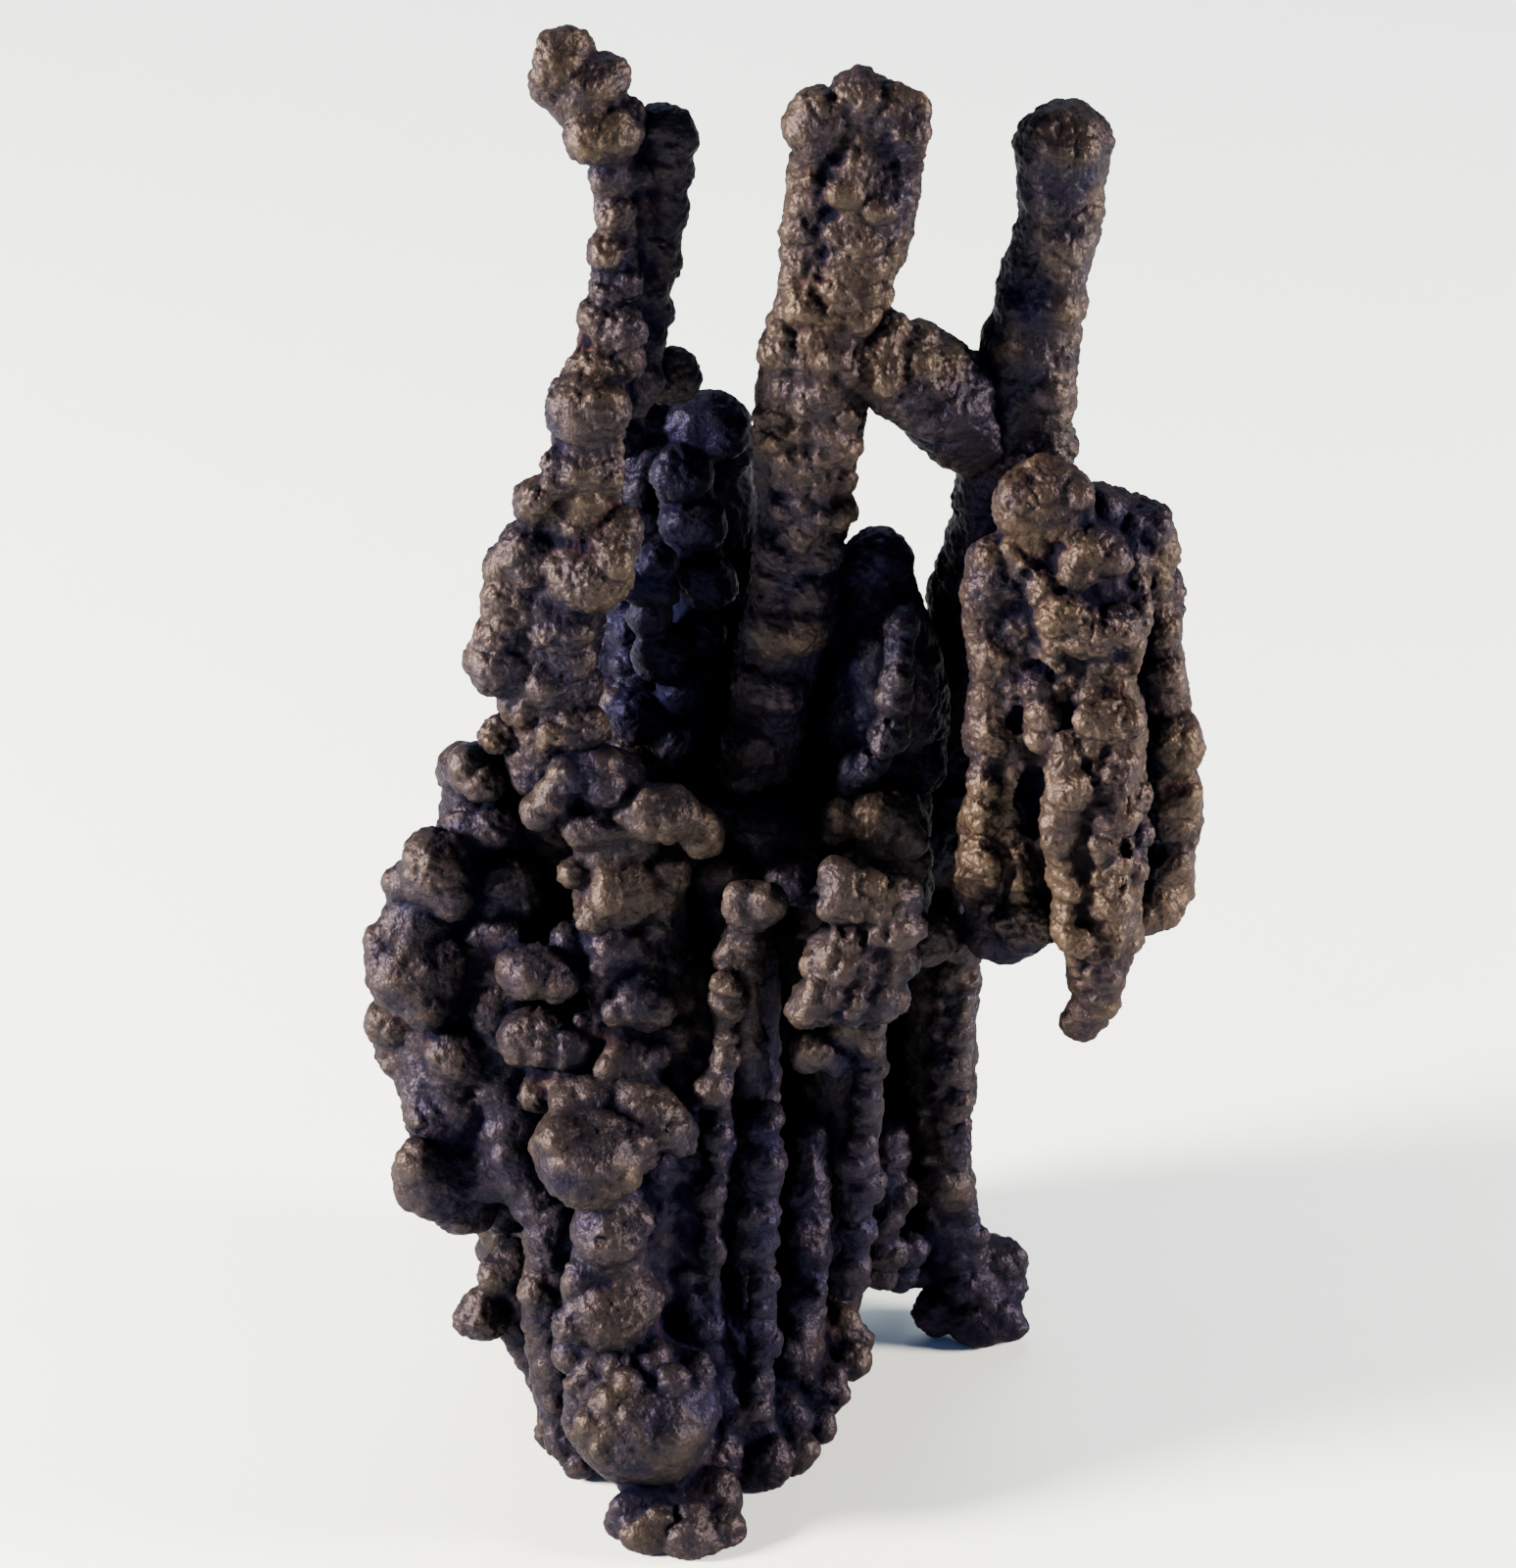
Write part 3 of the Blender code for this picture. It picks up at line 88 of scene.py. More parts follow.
SHAPES = {
    "left_stalk": {
        "cores": [
            ("k", [(606, 402, 24, 34), (594, 500, 22.9, 40), (577, 600, 22.6, 47), (557, 690, 22.4, 50), (562, 775, 22.3, 46)]),
            ("b", [(627, 165, 27, 22), (628, 230, 27, 21), (622, 300, 26, 23), (606, 400, 24.5, 30)]),
            ("p", [(682, 150, 29.5, 30), (676, 212, 29.5, 25), (663, 268, 29, 27), (660, 318, 28.5, 24), (640, 400, 26.5, 28)]),
            ("v", [(575, 70, 27.5, 31), (596, 104, 27.5, 30), (620, 145, 27, 30)]),
            ("b", [(650, 170, 28.5, 24), (645, 330, 28, 25), (648, 390, 27.5, 28)]),
        ],
        "lobes": [
            (571, 64, 27, 37, "P", 1.05, 1.1, -8), (578, 96, 27, 28, "P"), (562, 84, 27, 26, "P"), (620, 80, 27, 27, "P"), (600, 86, 26, 27, "P"),
            (616, 134, 26, 40, "P", 1.0, 0.84), (600, 112, 26.6, 26, "P"), (640, 112, 27.2, 20, "P"),
            (682, 139, 29.5, 37, "P", 0.95, 1.12), (690, 172, 29.5, 27, "P"), (664, 128, 29, 22, "s"),
            (679, 212, 29.5, 29, "P", 0.9, 1.1), (666, 268, 29.5, 33, "P", 0.95, 0.95), (661, 318, 28.8, 27, "P"), (650, 336, 28, 18, "s"),
            (606, 329, 24.5, 29, "b", 1.0, 0.9), (600, 370, 24, 29, "b", 1.0, 0.85), (640, 340, 26, 28, "k"), (640, 368, 26, 26, "k"),
            (682, 384, 29.5, 30, "s", 1.0, 1.05), (655, 392, 28, 28, "k"),
            (600, 422, 22.5, 44, "P"), (618, 418, 22.2, 27, "b"), (596, 478, 22.2, 44, "b", 1.0, 0.74), (562, 470, 23, 20, "b"),
            (552, 507, 22.0, 30, "R"), (548, 507, 22.5, 20, "r"), (566, 500, 22, 22, "b"), (624, 492, 22.8, 20, "k"), (600, 520, 22, 26, "b"),
            (600, 545, 21.2, 32, "B", 1.1, 0.9), (632, 545, 21, 29, "S", 0.95, 1.05), (603, 584, 20.0, 45, "P", 1.02, 0.92), (632, 568, 20.5, 26, "s"), (586, 548, 21, 20, "b"),
            (545, 558, 21.8, 36, "R"), (530, 612, 21.2, 38, "R"), (520, 575, 22.0, 27, "R"), (538, 590, 21, 16, "r"), (552, 625, 20.5, 16, "r"),
            (573, 641, 20.2, 33, "b", 1.0, 0.85), (594, 645, 21, 18, "b"), (512, 678, 20.4, 36, "P"), (498, 650, 22, 22, "k"),
            (560, 697, 19.8, 32, "b", 1.0, 0.8), (590, 680, 20.6, 27, "k"), (600, 704, 20.8, 20, "k"), (588, 741, 19.6, 37, "b", 1.0, 0.82),
            (556, 752, 20.3, 20, "b"), (526, 722, 21, 30, "k"), (513, 650, 21.8, 26, "k"), (572, 775, 20.6, 32, "k"), (512, 748, 21.5, 24, "k"),
        ],
        "rows": [
            ("b", 1.75, [(621, 182, 25.6, 21), (627, 225, 25.4, 18), (622, 262, 25.2, 20), (618, 292, 25, 20)]),
            ("b", 1.6, [(644, 190, 26.6, 13), (646, 235, 26.6, 12), (642, 290, 26.4, 13)]),
        ],
    },
    "back_left_stalk": {
        "cores": [
            ("k", [(735, 436, 36, 32), (738, 560, 37, 38), (730, 700, 36.5, 36), (722, 775, 35.5, 32)]),
            ("k", [(700, 484, 33, 28), (710, 580, 33.5, 28), (702, 700, 33, 26), (700, 775, 32, 28)]),
            ("K", [(676, 446, 37, 26), (664, 560, 37.5, 32), (652, 680, 37, 34), (650, 770, 36, 34)]),
            ("K", [(745, 470, 39.5, 28), (742, 600, 40, 30), (734, 740, 39, 32)]),
            ("k", [(640, 540, 40, 24), (630, 640, 39.5, 32), (625, 740, 38.5, 34)]),
        ],
        "lobes": [
            (722, 436, 33.5, 42, "s", 1.0, 0.98), (746, 446, 35, 30, "s"), (700, 484, 31.2, 33, "s"), (716, 536, 32, 31, "b"), (690, 530, 33, 18, "k"),
            (704, 536, 31.4, 30, "S"), (716, 592, 32, 32, "S"), (712, 648, 31.8, 31, "S"), (666, 592, 29.4, 27, "S", 0.9, 1.35), (676, 668, 29.8, 31, "S"), (640, 448, 32.5, 24, "K"), (752, 466, 37, 28, "k"), (757, 525, 38, 32, "k"),
            (755, 590, 38, 28, "k"), (748, 650, 38, 28, "k"), (668, 570, 29.4, 19, "s"), (680, 602, 29, 21, "s", 1.0, 1.2), (664, 634, 28.6, 15, "b"),
            (650, 600, 31, 20, "k"), (681, 670, 29.8, 27, "k"), (660, 660, 31, 20, "k"), (700, 708, 30.4, 32, "S"), (694, 752, 30, 32, "S"), (735, 690, 34, 36, "K"), (738, 620, 35, 36, "K"), (650, 730, 30, 30, "K"),
            (665, 456, 35, 18, "k"), (650, 500, 38, 22, "k"), (670, 430, 34.4, 32, "k"), (652, 424, 35, 26, "k"), (652, 468, 35.4, 28, "k"), (640, 500, 36.5, 24, "k"),
        ],
    },
    "middle_stalk": {
        "cores": [
            ("b", [(890, 115, 28.5, 46), (888, 185, 28, 52), (878, 245, 27.8, 47), (849, 335, 27.2, 50), (836, 405, 26.9, 51), (830, 480, 26.8, 46), (818, 545, 26.8, 46), (806, 620, 26.4, 45), (788, 700, 26.8, 44), (777, 790, 27.6, 42)]),
            ("b", [(874, 165, 25.6, 20), (871, 235, 25.2, 20), (867, 300, 24.9, 22)]),
            ("b", [(840, 150, 26.3, 18), (834, 235, 26.1, 18), (828, 310, 25.5, 19)]),
            ("b", [(802, 372, 26.4, 26), (799, 420, 26.2, 28), (800, 470, 26.2, 28), (803, 530, 26.2, 24)]),
            ("b", [(823, 165, 27, 19), (816, 235, 26.8, 18), (812, 300, 26.2, 20), (798, 350, 26, 22)]),
        ],
        "lobes": [
            (834, 126, 26.5, 35, "P", 1.0, 1.05), (830, 158, 27, 24, "s"), (880, 101, 27, 36, "P", 0.9, 1.0), (858, 98, 27, 18, "s"),
            (908, 114, 28, 46, "P"), (926, 120, 27.6, 58, "P", 1.0, 1.0, 0, 0.72), (925, 164, 27.5, 25, "b"), (918, 188, 27.4, 24, "b"),
            (892, 145, 26.6, 30, "P", 1.0, 1.2), (866, 140, 26.8, 24, "P", 1.0, 1.3), (904, 215, 27.2, 24, "b", 1.1, 0.85), (850, 170, 27, 14, "b"),
            (792, 340, 25.4, 14, "b"), (846, 330, 24.4, 24, "s"), (832, 420, 23.6, 22, "s", 0.7, 1.3),
            (785, 560, 24.2, 20, "s"), (777, 588, 24.4, 17, "b"), (798, 575, 23.8, 14, "b"), (812, 552, 23.6, 22, "b"), (846, 570, 25.5, 26, "k"), (834, 600, 25.4, 26, "k"),
            (790, 640, 24.8, 36, "w"), (820, 650, 25, 30, "w"), (778, 700, 24.9, 36, "w"), (806, 710, 25, 30, "w"), (768, 760, 25.4, 35, "w"), (760, 800, 26, 30, "w"),
        ],
        "rows": [
            ("b", 1.75, [(821, 185, 25.6, 17), (815, 240, 25.5, 18), (810, 300, 25.1, 18)]),
            ("b", 1.5, [(858, 195, 24.8, 21), (852, 240, 24.6, 21), (852, 290, 24.2, 22)]),
            ("b", 1.5, [(893, 205, 25.6, 22), (890, 250, 25.4, 21), (888, 300, 25, 22)]),
            ("b", 1.35, [(912, 250, 27, 12), (905, 300, 27, 15)]),
            ("b", 1.45, [(796, 345, 24.6, 18), (797, 395, 24.2, 19), (795, 450, 24.2, 18), (797, 520, 24.2, 18)]),
            ("b", 1.4, [(820, 318, 23.6, 19), (820, 400, 23.3, 19), (818, 520, 23.5, 19)]),
            ("b", 1.5, [(850, 365, 23.6, 23), (846, 440, 23.5, 22), (840, 530, 23.8, 21)]),
            ("b", 1.6, [(884, 330, 24.9, 23), (874, 380, 24.8, 23), (869, 430, 24.8, 22), (862, 520, 25, 19)]),
        ],
    },
    "cross_branch": {
        "cores": [("p", [(884, 364, 26.6, 47), (930, 382, 27.0, 50), (962, 404, 27.4, 51), (990, 432, 28.6, 50)])],
        "lobes": [
            (906, 366, 26.4, 54, "P", 0.46, 1.0, 2, 0.9), (932, 377, 26.6, 55, "P", 0.46, 1.0, 8, 0.86), (957, 396, 27, 57, "P", 0.46, 1.0, 14, 0.84),
            (981, 420, 27.8, 59, "P", 0.46, 1.0, 20, 0.8),
        ],
    },
    "right_stalk": {
        "cores": [
            ("w", [(1085, 152, 30, 48), (1085, 200, 30, 46), (1073, 250, 30, 45), (1062, 305, 29.7, 47), (1051, 350, 29.4, 46), (1047, 400, 29.2, 47), (1049, 455, 29.2, 45), (1048, 490, 29.7, 42)]),
            ("s", [(1034, 455, 29.7, 43), (1012, 520, 31.5, 39), (990, 600, 33.5, 43), (980, 690, 34, 45), (976, 770, 33.4, 47)]),
        ],
        "lobes": [
            (1085, 158, 30, 50, "P", 1.0, 1.1, 0, 1.0), (1070, 405, 28.8, 26, "w"), (1055, 458, 28.8, 45, "w"), (1020, 440, 29.2, 38, "w"),
            (1000, 452, 30, 34, "s"),
        ],
    },
    "hanging_cluster": {
        "cores": [
            ("k", [(1066, 520, 23, 44), (1052, 600, 22.7, 46), (1042, 700, 22.5, 48), (1038, 800, 22.6, 50), (1034, 890, 21.9, 50), (1032, 935, 21.4, 44)]),
            ("r", [(1105, 570, 22, 42), (1112, 680, 21.4, 52), (1118, 790, 19.6, 52), (1120, 880, 18, 50), (1122, 950, 16.4, 41)]),
            ("r", [(1122, 945, 16.4, 40), (1117, 1000, 15.4, 29), (1113, 1030, 15.1, 17), (1112, 1046, 15.0, 9)]),
            ("k", [(1150, 540, 25, 26), (1174, 600, 26, 31), (1182, 700, 26, 31), (1194, 790, 25.6, 33), (1188, 900, 24.6, 33)]),
            ("k", [(1122, 515, 25, 26), (1172, 540, 25.6, 30)]),
            ("k", [(1100, 600, 27, 48), (1106, 720, 27.5, 60), (1108, 830, 27, 60), (1104, 895, 25.5, 50)]),
            ("k", [(1096, 560, 23.5, 40), (1098, 700, 24, 52), (1100, 880, 22.5, 50)]),
            ("r", [(1150, 560, 23, 18), (1158, 620, 20.5, 16), (1152, 670, 19.5, 16)]),
            ("r", [(1040, 560, 21, 18), (1062, 600, 19.6, 18), (1078, 660, 18.6, 16), (1056, 700, 18.6, 14), (1062, 750, 17.6, 16), (1085, 752, 16.6, 16)]),
            ("r", [(1086, 760, 16.2, 17), (1082, 850, 15.2, 18), (1088, 950, 14.4, 18)]),
            ("r", [(1134, 775, 16.4, 25), (1134, 860, 15.6, 26), (1130, 950, 14.8, 24)]),
            ("r", [(1012, 790, 21, 26), (1006, 860, 21, 32), (1018, 930, 20, 34)]),
            ("r", [(1040, 880, 19.4, 24), (1042, 940, 18.4, 22)]),
            ("p", [(1012, 575, 21.8, 27), (1010, 640, 21.4, 26), (1012, 760, 20.8, 26)]),
        ],
        "lobes": [
            (1064, 514, 22.2, 52, "P"), (1038, 514, 21.6, 26, "s", 0.9, 1.2), (1104, 506, 23, 23, "s"), (1082, 545, 21.6, 22, "b"),
            (1110, 566, 20.2, 37, "P", 0.95, 0.95), (1140, 575, 22, 20, "b"), (1092, 590, 19.8, 22, "b"), (1113, 640, 18.6, 44, "P", 1.0, 0.72),
            (1148, 640, 20.2, 18, "b"), (1080, 630, 19.2, 20, "b"), (1115, 684, 17.9, 18, "s"), (1093, 690, 18.6, 15, "b"), (1138, 682, 19, 16, "b"),
            (1130, 731, 17.2, 39, "P", 1.0, 0.76), (1158, 738, 18.6, 17, "b"), (1105, 735, 17.2, 18, "b"),
            (1012, 572, 21.6, 27, "P"), (1016, 606, 21.2, 36, "P", 0.95, 1.15), (1016, 668, 21, 35, "P", 0.9, 1.2), (1016, 741, 20.4, 33, "P", 0.88, 1.05), (1034, 606, 20.2, 18, "b"), (1005, 835, 20.4, 26, "r"), (1000, 880, 20.4, 30, "r"), (990, 900, 22, 26, "r"),
            (1018, 950, 20.2, 38, "r"), (1042, 956, 20, 30, "r"), (1062, 945, 20, 24, "r"), (1179, 560, 25, 27, "S", 0.9, 1.3), (1183, 600, 24.6, 26, "b"), (1178, 632, 24.6, 24, "S", 0.9, 1.2),
            (1184, 692, 24.2, 29, "b"), (1190, 650, 25, 18, "b"), (1197, 764, 23.6, 33, "b", 1.0, 1.15), (1195, 812, 23.4, 32, "b"), (1196, 846, 23.4, 30, "b"),
            (1188, 890, 23.2, 30, "b"), (1183, 922, 23, 32, "k"), (1165, 938, 22, 26, "k"), (1180, 795, 19.4, 17, "s"), (1164, 812, 18, 18, "b"), (1166, 850, 18, 17, "b"), (1160, 890, 17.6, 17, "b"),
            (1160, 562, 25.4, 42, "K", 0.95, 1.15), (1132, 540, 24.6, 34, "K"), (1158, 536, 25, 24, "k"), (1128, 516, 25, 20, "k"), (1180, 538, 25.4, 24, "b"),  (1150, 775, 17, 18, "b"), (1110, 768, 16, 20, "b"), (1040, 640, 21, 22, "r"), (1034, 700, 21, 18, "r"),
        ],
        "rows": [
            ("b", 1.3, [(1084, 775, 14.6, 13), (1080, 860, 13.8, 14), (1088, 950, 13.2, 13), (1105, 1024, 13, 9)]),
            ("b", 1.3, [(1120, 765, 14.2, 13), (1118, 860, 13.2, 14), (1118, 950, 12.8, 13), (1114, 1034, 12.8, 8)]),
            ("b", 1.3, [(1144, 790, 15, 13), (1146, 870, 14.2, 14), (1138, 950, 13.8, 12), (1122, 1024, 13.4, 9)]),
            ("b", 1.4, [(1050, 580, 18.4, 13), (1072, 640, 17.4, 13), (1082, 700, 16.8, 12)]),
            ("b", 1.3, [(1008, 790, 18.8, 15), (1000, 860, 18.8, 15), (1016, 940, 18, 15)]),
            ("b", 1.3, [(1040, 870, 17.8, 13), (1042, 930, 17, 13)]),
        ],
    },
    "inner_stalk": {
        "cores": [
            ("s", [(893, 585, 29, 36), (908, 650, 28.8, 47), (910, 700, 28.6, 48), (906, 750, 28.2, 44), (902, 795, 27.8, 42)]),
            ("K", [(858, 640, 32, 30), (850, 710, 32, 32), (850, 800, 32, 34)]),
            ("r", [(918, 634, 23.4, 13), (917, 690, 22.1, 15), (908, 748, 22.3, 15), (876, 806, 22.8, 13)]),
        ],
        "lobes": [
            (891, 574, 28.4, 38, "P"), (864, 600, 29.4, 24, "K"), (858, 640, 30, 26, "K"), (912, 700, 26.2, 56, "P", 1.0, 1.72, 3), (878, 706, 26.6, 33, "s", 1.0, 2.2, 4),
            (940, 720, 27, 32, "s", 1.0, 2.2), (900, 780, 25.4, 38, "k"), (936, 780, 26.4, 33, "s", 0.8, 1.2), (866, 790, 25, 18, "b"),
        ],
        "rows": [("r", 0.9, [(922, 636, 23, 17), (918, 700, 22.4, 19), (906, 755, 22.4, 17), (880, 800, 22.8, 14)])],
    },
    "base_cluster": {
        "cores": [
            # trunks behind the front growths
            ("k", [(560, 805, 26, 55), (560, 900, 27, 62), (560, 1000, 27, 66), (565, 1100, 27, 64), (580, 1200, 26, 58), (600, 1300, 25, 55), (610, 1400, 24, 45)]),
            ("k", [(690, 820, 28, 50), (690, 950, 28, 60), (690, 1100, 27, 62), (690, 1250, 25, 62), (690, 1380, 22, 62), (700, 1470, 16, 58), (690, 1545, 8.4, 42)]),
            ("k", [(830, 840, 30, 46), (840, 950, 30, 50), (850, 1080, 31, 42), (850, 1200, 30, 38), (845, 1320, 27, 34), (820, 1420, 19, 34)]),
            ("k", [(930, 850, 31, 48), (945, 950, 31, 46), (950, 1050, 32, 34), (950, 1150, 33, 30), (955, 1250, 33, 28)]),
            ("k", [(450, 905, 23, 40), (440, 1000, 23, 50), (455, 1090, 22, 46), (480, 1190, 20, 42)]),
            # fill between the front growths and the trunks
            ("k", [(478, 815, 24, 28), (470, 900, 22, 38), (455, 1000, 21, 46), (450, 1100, 19, 44), (462, 1190, 17, 38), (480, 1225, 17, 32)]),
            ("k", [(520, 900, 21, 32), (520, 1000, 19, 34), (520, 1100, 17.5, 38), (530, 1180, 15.5, 36), (548, 1225, 14, 32)]),
            ("k", [(560, 1240, 13, 28), (560, 1330, 12.5, 30), (575, 1420, 12, 30), (590, 1478, 11, 26)]),
            ("k", [(525, 1290, 17, 26), (526, 1345, 17, 22), (556, 1400, 15.5, 21), (576, 1455, 14, 22)]),
            ("k", [(700, 1180, 14, 26), (700, 1300, 13, 30), (720, 1400, 12.5, 32), (735, 1465, 11, 34)]),
            ("k", [(826, 1160, 26, 22), (822, 1280, 22.6, 27), (814, 1380, 18.6, 31)]),
            ("k", [(905, 1160, 26, 22), (898, 1250, 25, 22)]),
            ("k", [(958, 940, 27, 30), (955, 1000, 27, 38), (960, 1100, 28, 34), (962, 1200, 29.5, 30), (960, 1250, 30, 26)]),
            ("k", [(966, 1240, 29.5, 26), (982, 1290, 30.8, 30), (1000, 1325, 30.4, 30), (1004, 1350, 29.2, 28)]),
            ("k", [(660, 900, 19, 40), (665, 1000, 18, 40), (670, 1100, 16, 42), (665, 1200, 14, 42), (660, 1300, 13, 42)]),
            ("k", [(745, 900, 22, 34), (760, 1000, 21, 34), (765, 1100, 21, 32), (760, 1200, 20, 32), (755, 1300, 18, 34), (755, 1420, 15, 34)]),
            # the solid heart of the base
            ("k", [(690, 930, 33, 72), (700, 1100, 33, 84), (706, 1250, 32, 66), (706, 1340, 31, 50)]),
            ("k", [(600, 880, 30, 58), (600, 1100, 30, 74), (612, 1290, 29, 54)]),
            ("k", [(820, 900, 34, 56), (830, 1100, 34.5, 62), (834, 1270, 32, 46)]),
            ("k", [(915, 900, 34, 42), (922, 1100, 35.5, 38), (928, 1225, 34.5, 32)]),
            ("k", [(500, 930, 26, 44), (500, 1100, 25, 50), (520, 1220, 22, 40)]),
            ("k", [(660, 1260, 18, 52), (690, 1400, 16, 56), (700, 1480, 10, 50)]),
            ("k", [(968, 800, 32.4, 36), (965, 880, 31.4, 38), (958, 960, 30.4, 34)]),
            # columns of the far side
            ("K", [(560, 905, 36, 46), (560, 1050, 37, 54), (572, 1200, 37, 54), (592, 1330, 36, 48), (602, 1400, 35, 42)]),
            ("K", [(670, 860, 40, 50), (680, 1000, 41, 58), (690, 1150, 41, 56), (700, 1290, 40, 50), (706, 1360, 39, 42)]),
            ("K", [(772, 860, 38, 50), (776, 1000, 39, 52), (784, 1150, 39, 48), (796, 1300, 38, 42), (804, 1370, 36, 36)]),
            ("K", [(890, 900, 38, 46), (895, 1000, 39, 46), (900, 1120, 39, 42), (905, 1230, 37, 34)]),
            ("K", [(480, 960, 31, 44), (480, 1060, 31, 48), (500, 1170, 29, 42), (530, 1280, 27, 34)]),
            ("K", [(640, 720, 36, 34), (645, 800, 35, 42), (645, 880, 34, 45)]),
            ("K", [(770, 720, 37, 32), (775, 800, 36, 40), (775, 880, 34, 42)]),
            ("K", [(842, 700, 36, 32), (842, 780, 36, 40), (842, 860, 35, 44)]),
            ("K", [(935, 700, 38, 34), (932, 780, 38, 40), (925, 880, 37, 44)]),
            ("K", [(975, 800, 37, 28), (970, 880, 35, 34), (962, 960, 33, 36)]),
            # the thin parallel stalks at the lower middle
            ("b", [(740, 1000, 13.6, 11), (738, 1090, 13.2, 12), (733, 1180, 12.4, 12), (726, 1270, 11.6, 13), (722, 1380, 11.6, 14)]),
            ("b", [(778, 1150, 14, 13), (780, 1250, 12.9, 13), (777, 1360, 12.2, 14), (770, 1450, 11.2, 17)]),
            ("b", [(890, 1040, 15.4, 16), (882, 1120, 16.4, 16), (874, 1220, 17.6, 15), (866, 1310, 18.4, 15)]),
            ("r", [(974, 950, 25, 20), (978, 1000, 25, 22), (971, 1050, 25.5, 22), (962, 1130, 27, 24), (964, 1190, 28, 23), (970, 1240, 29.5, 26)]),
            ("p", [(758, 955, 16, 22), (758, 1050, 16.2, 23), (757, 1130, 17, 22), (756, 1180, 18, 20)]),
            ("k", [(620, 800, 20, 40), (625, 900, 18, 38), (630, 1000, 16.5, 36), (640, 1090, 14, 36), (610, 1180, 12, 45)]),
            ("k", [(622, 1240, 11, 32), (622, 1330, 11.4, 38), (645, 1440, 10.4, 54), (690, 1548, 5, 38)]),
            ("p", [(621, 1236, 8.5, 36), (622, 1290, 8.5, 41), (624, 1345, 8.8, 47), (634, 1400, 9.0, 54)]),
            ("k", [(470, 790, 23.5, 28), (500, 850, 23, 34), (530, 900, 22, 30), (530, 1000, 20, 32), (545, 1070, 17, 32)]),
            ("k", [(905, 820, 27, 46), (900, 900, 25, 50), (880, 980, 19, 42), (870, 1040, 17, 32)]),
            ("k", [(700, 900, 24, 30), (720, 1000, 19, 30), (722, 1080, 17, 30)]),
        ],
        "lobes": [
            # left flank
            (485, 788, 22.4, 33, "s", 1.0, 0.95), (477, 777, 23, 20, "b"), (500, 800, 22.6, 26, "b"), (486, 843, 21.8, 34, "s", 1.05, 0.8), (470, 862, 22, 18, "b"),
            (510, 836, 22.6, 22, "k"), (526, 896, 19.4, 27, "s"), (518, 905, 19.8, 26, "s"), (536, 925, 20.4, 24, "k"), (520, 955, 20.6, 28, "k"),
            (444, 893, 19.4, 45, "P", 0.94, 1.0), (415, 905, 20, 27, "S"), (462, 925, 19.2, 24, "s"), (423, 992, 18.4, 54, "P"), (404, 962, 19, 33, "s"),
            (452, 985, 17.8, 32, "s"), (408, 1040, 20, 35, "s"), (428, 1068, 21.2, 45, "s"), (436, 1035, 19, 28, "s"), (470, 1078, 16.6, 36, "b", 1.1, 0.9, 30),
            (452, 1108, 16.8, 30, "b"), (470, 1130, 17, 30, "k"), (438, 1140, 17.4, 28, "b"), (428, 948, 19.8, 46, "S"), (446, 1200, 15.2, 47, "P"), (430, 1184, 15.6, 27, "s"), (476, 1229, 16, 36, "k"),
            (512, 1240, 15.6, 30, "k"), (500, 1195, 15.4, 38, "k"), (526, 1188, 13.2, 27, "r"), (522, 1212, 13.8, 18, "r"), (545, 992, 14.6, 33, "P", 1.0, 0.95),
            (532, 1018, 15, 20, "b"), (568, 1012, 15, 16, "b"), (536, 1062, 13.8, 33, "S", 0.9, 1.0), (552, 1075, 14, 24, "b"), (578, 1070, 13, 25, "s"),
            (560, 1045, 14.4, 22, "b"), (592, 1040, 12.8, 12, "s"), (598, 1005, 13.6, 13, "s"), (582, 1000, 14.8, 14, "b"), (505, 960, 19.4, 32, "k"),
            (495, 1130, 17.6, 36, "k"), (560, 1110, 13.8, 28, "k"), (540, 1120, 13.6, 14, "s"), (500, 1040, 17.4, 26, "k"),
            # middle column
            (600, 790, 18.2, 38, "s", 1.0, 0.85), (578, 795, 17.2, 20, "b"), (565, 812, 17, 14, "s"), (549, 833, 17, 15, "s"), (560, 822, 17.4, 12, "s"),
            (618, 812, 17.6, 26, "k"), (606, 846, 17, 32, "r", 1.1, 0.8), (575, 862, 17.8, 22, "r", 1.2, 0.8), (645, 865, 16.4, 26, "r", 1.3, 0.7),
            (672, 834, 17.0, 43, "P", 1.0, 0.8), (650, 834, 17.2, 32, "s"), (712, 850, 17.4, 28, "s"), (664, 816, 16.6, 22, "b"), (686, 885, 15.8, 24, "s"),
            (622, 918, 15.6, 30, "r", 0.9, 1.0), (650, 905, 15.4, 26, "r"), (646, 935, 15.4, 22, "r"), (585, 892, 16.6, 17, "b"), (600, 940, 16.2, 20, "b"),
            (679, 924, 15.8, 26, "s", 0.9, 1.1), (668, 950, 16, 22, "k"), (582, 965, 16.4, 18, "s", 0.9, 1.2), (632, 972, 14.8, 29, "b", 1.0, 0.9), (612, 990, 15.2, 18, "r"),
            (660, 985, 15.2, 26, "k"), (651, 1025, 13.8, 35, "s", 1.0, 0.74), (628, 1040, 14.2, 16, "b"), (640, 1080, 13, 31, "s", 1.0, 0.95), (618, 1088, 13, 16, "b"),
            (664, 1000, 14.8, 22, "k"), (605, 1045, 14.8, 22, "k"), (765, 925, 14.8, 29, "s"), (752, 915, 14.6, 18, "s"), (790, 925, 17, 24, "k"), (755, 945, 15, 18, "b"), (735, 935, 16.6, 18, "k"),
            (703, 976, 14.6, 14, "s"), (700, 1000, 15, 13, "s"), (688, 985, 16.4, 16, "k"), (740, 974, 13.6, 19, "b"), (738, 1006, 13.6, 16, "s"), (755, 990, 14.4, 20, "s"), (782, 850, 23.6, 42, "s"),
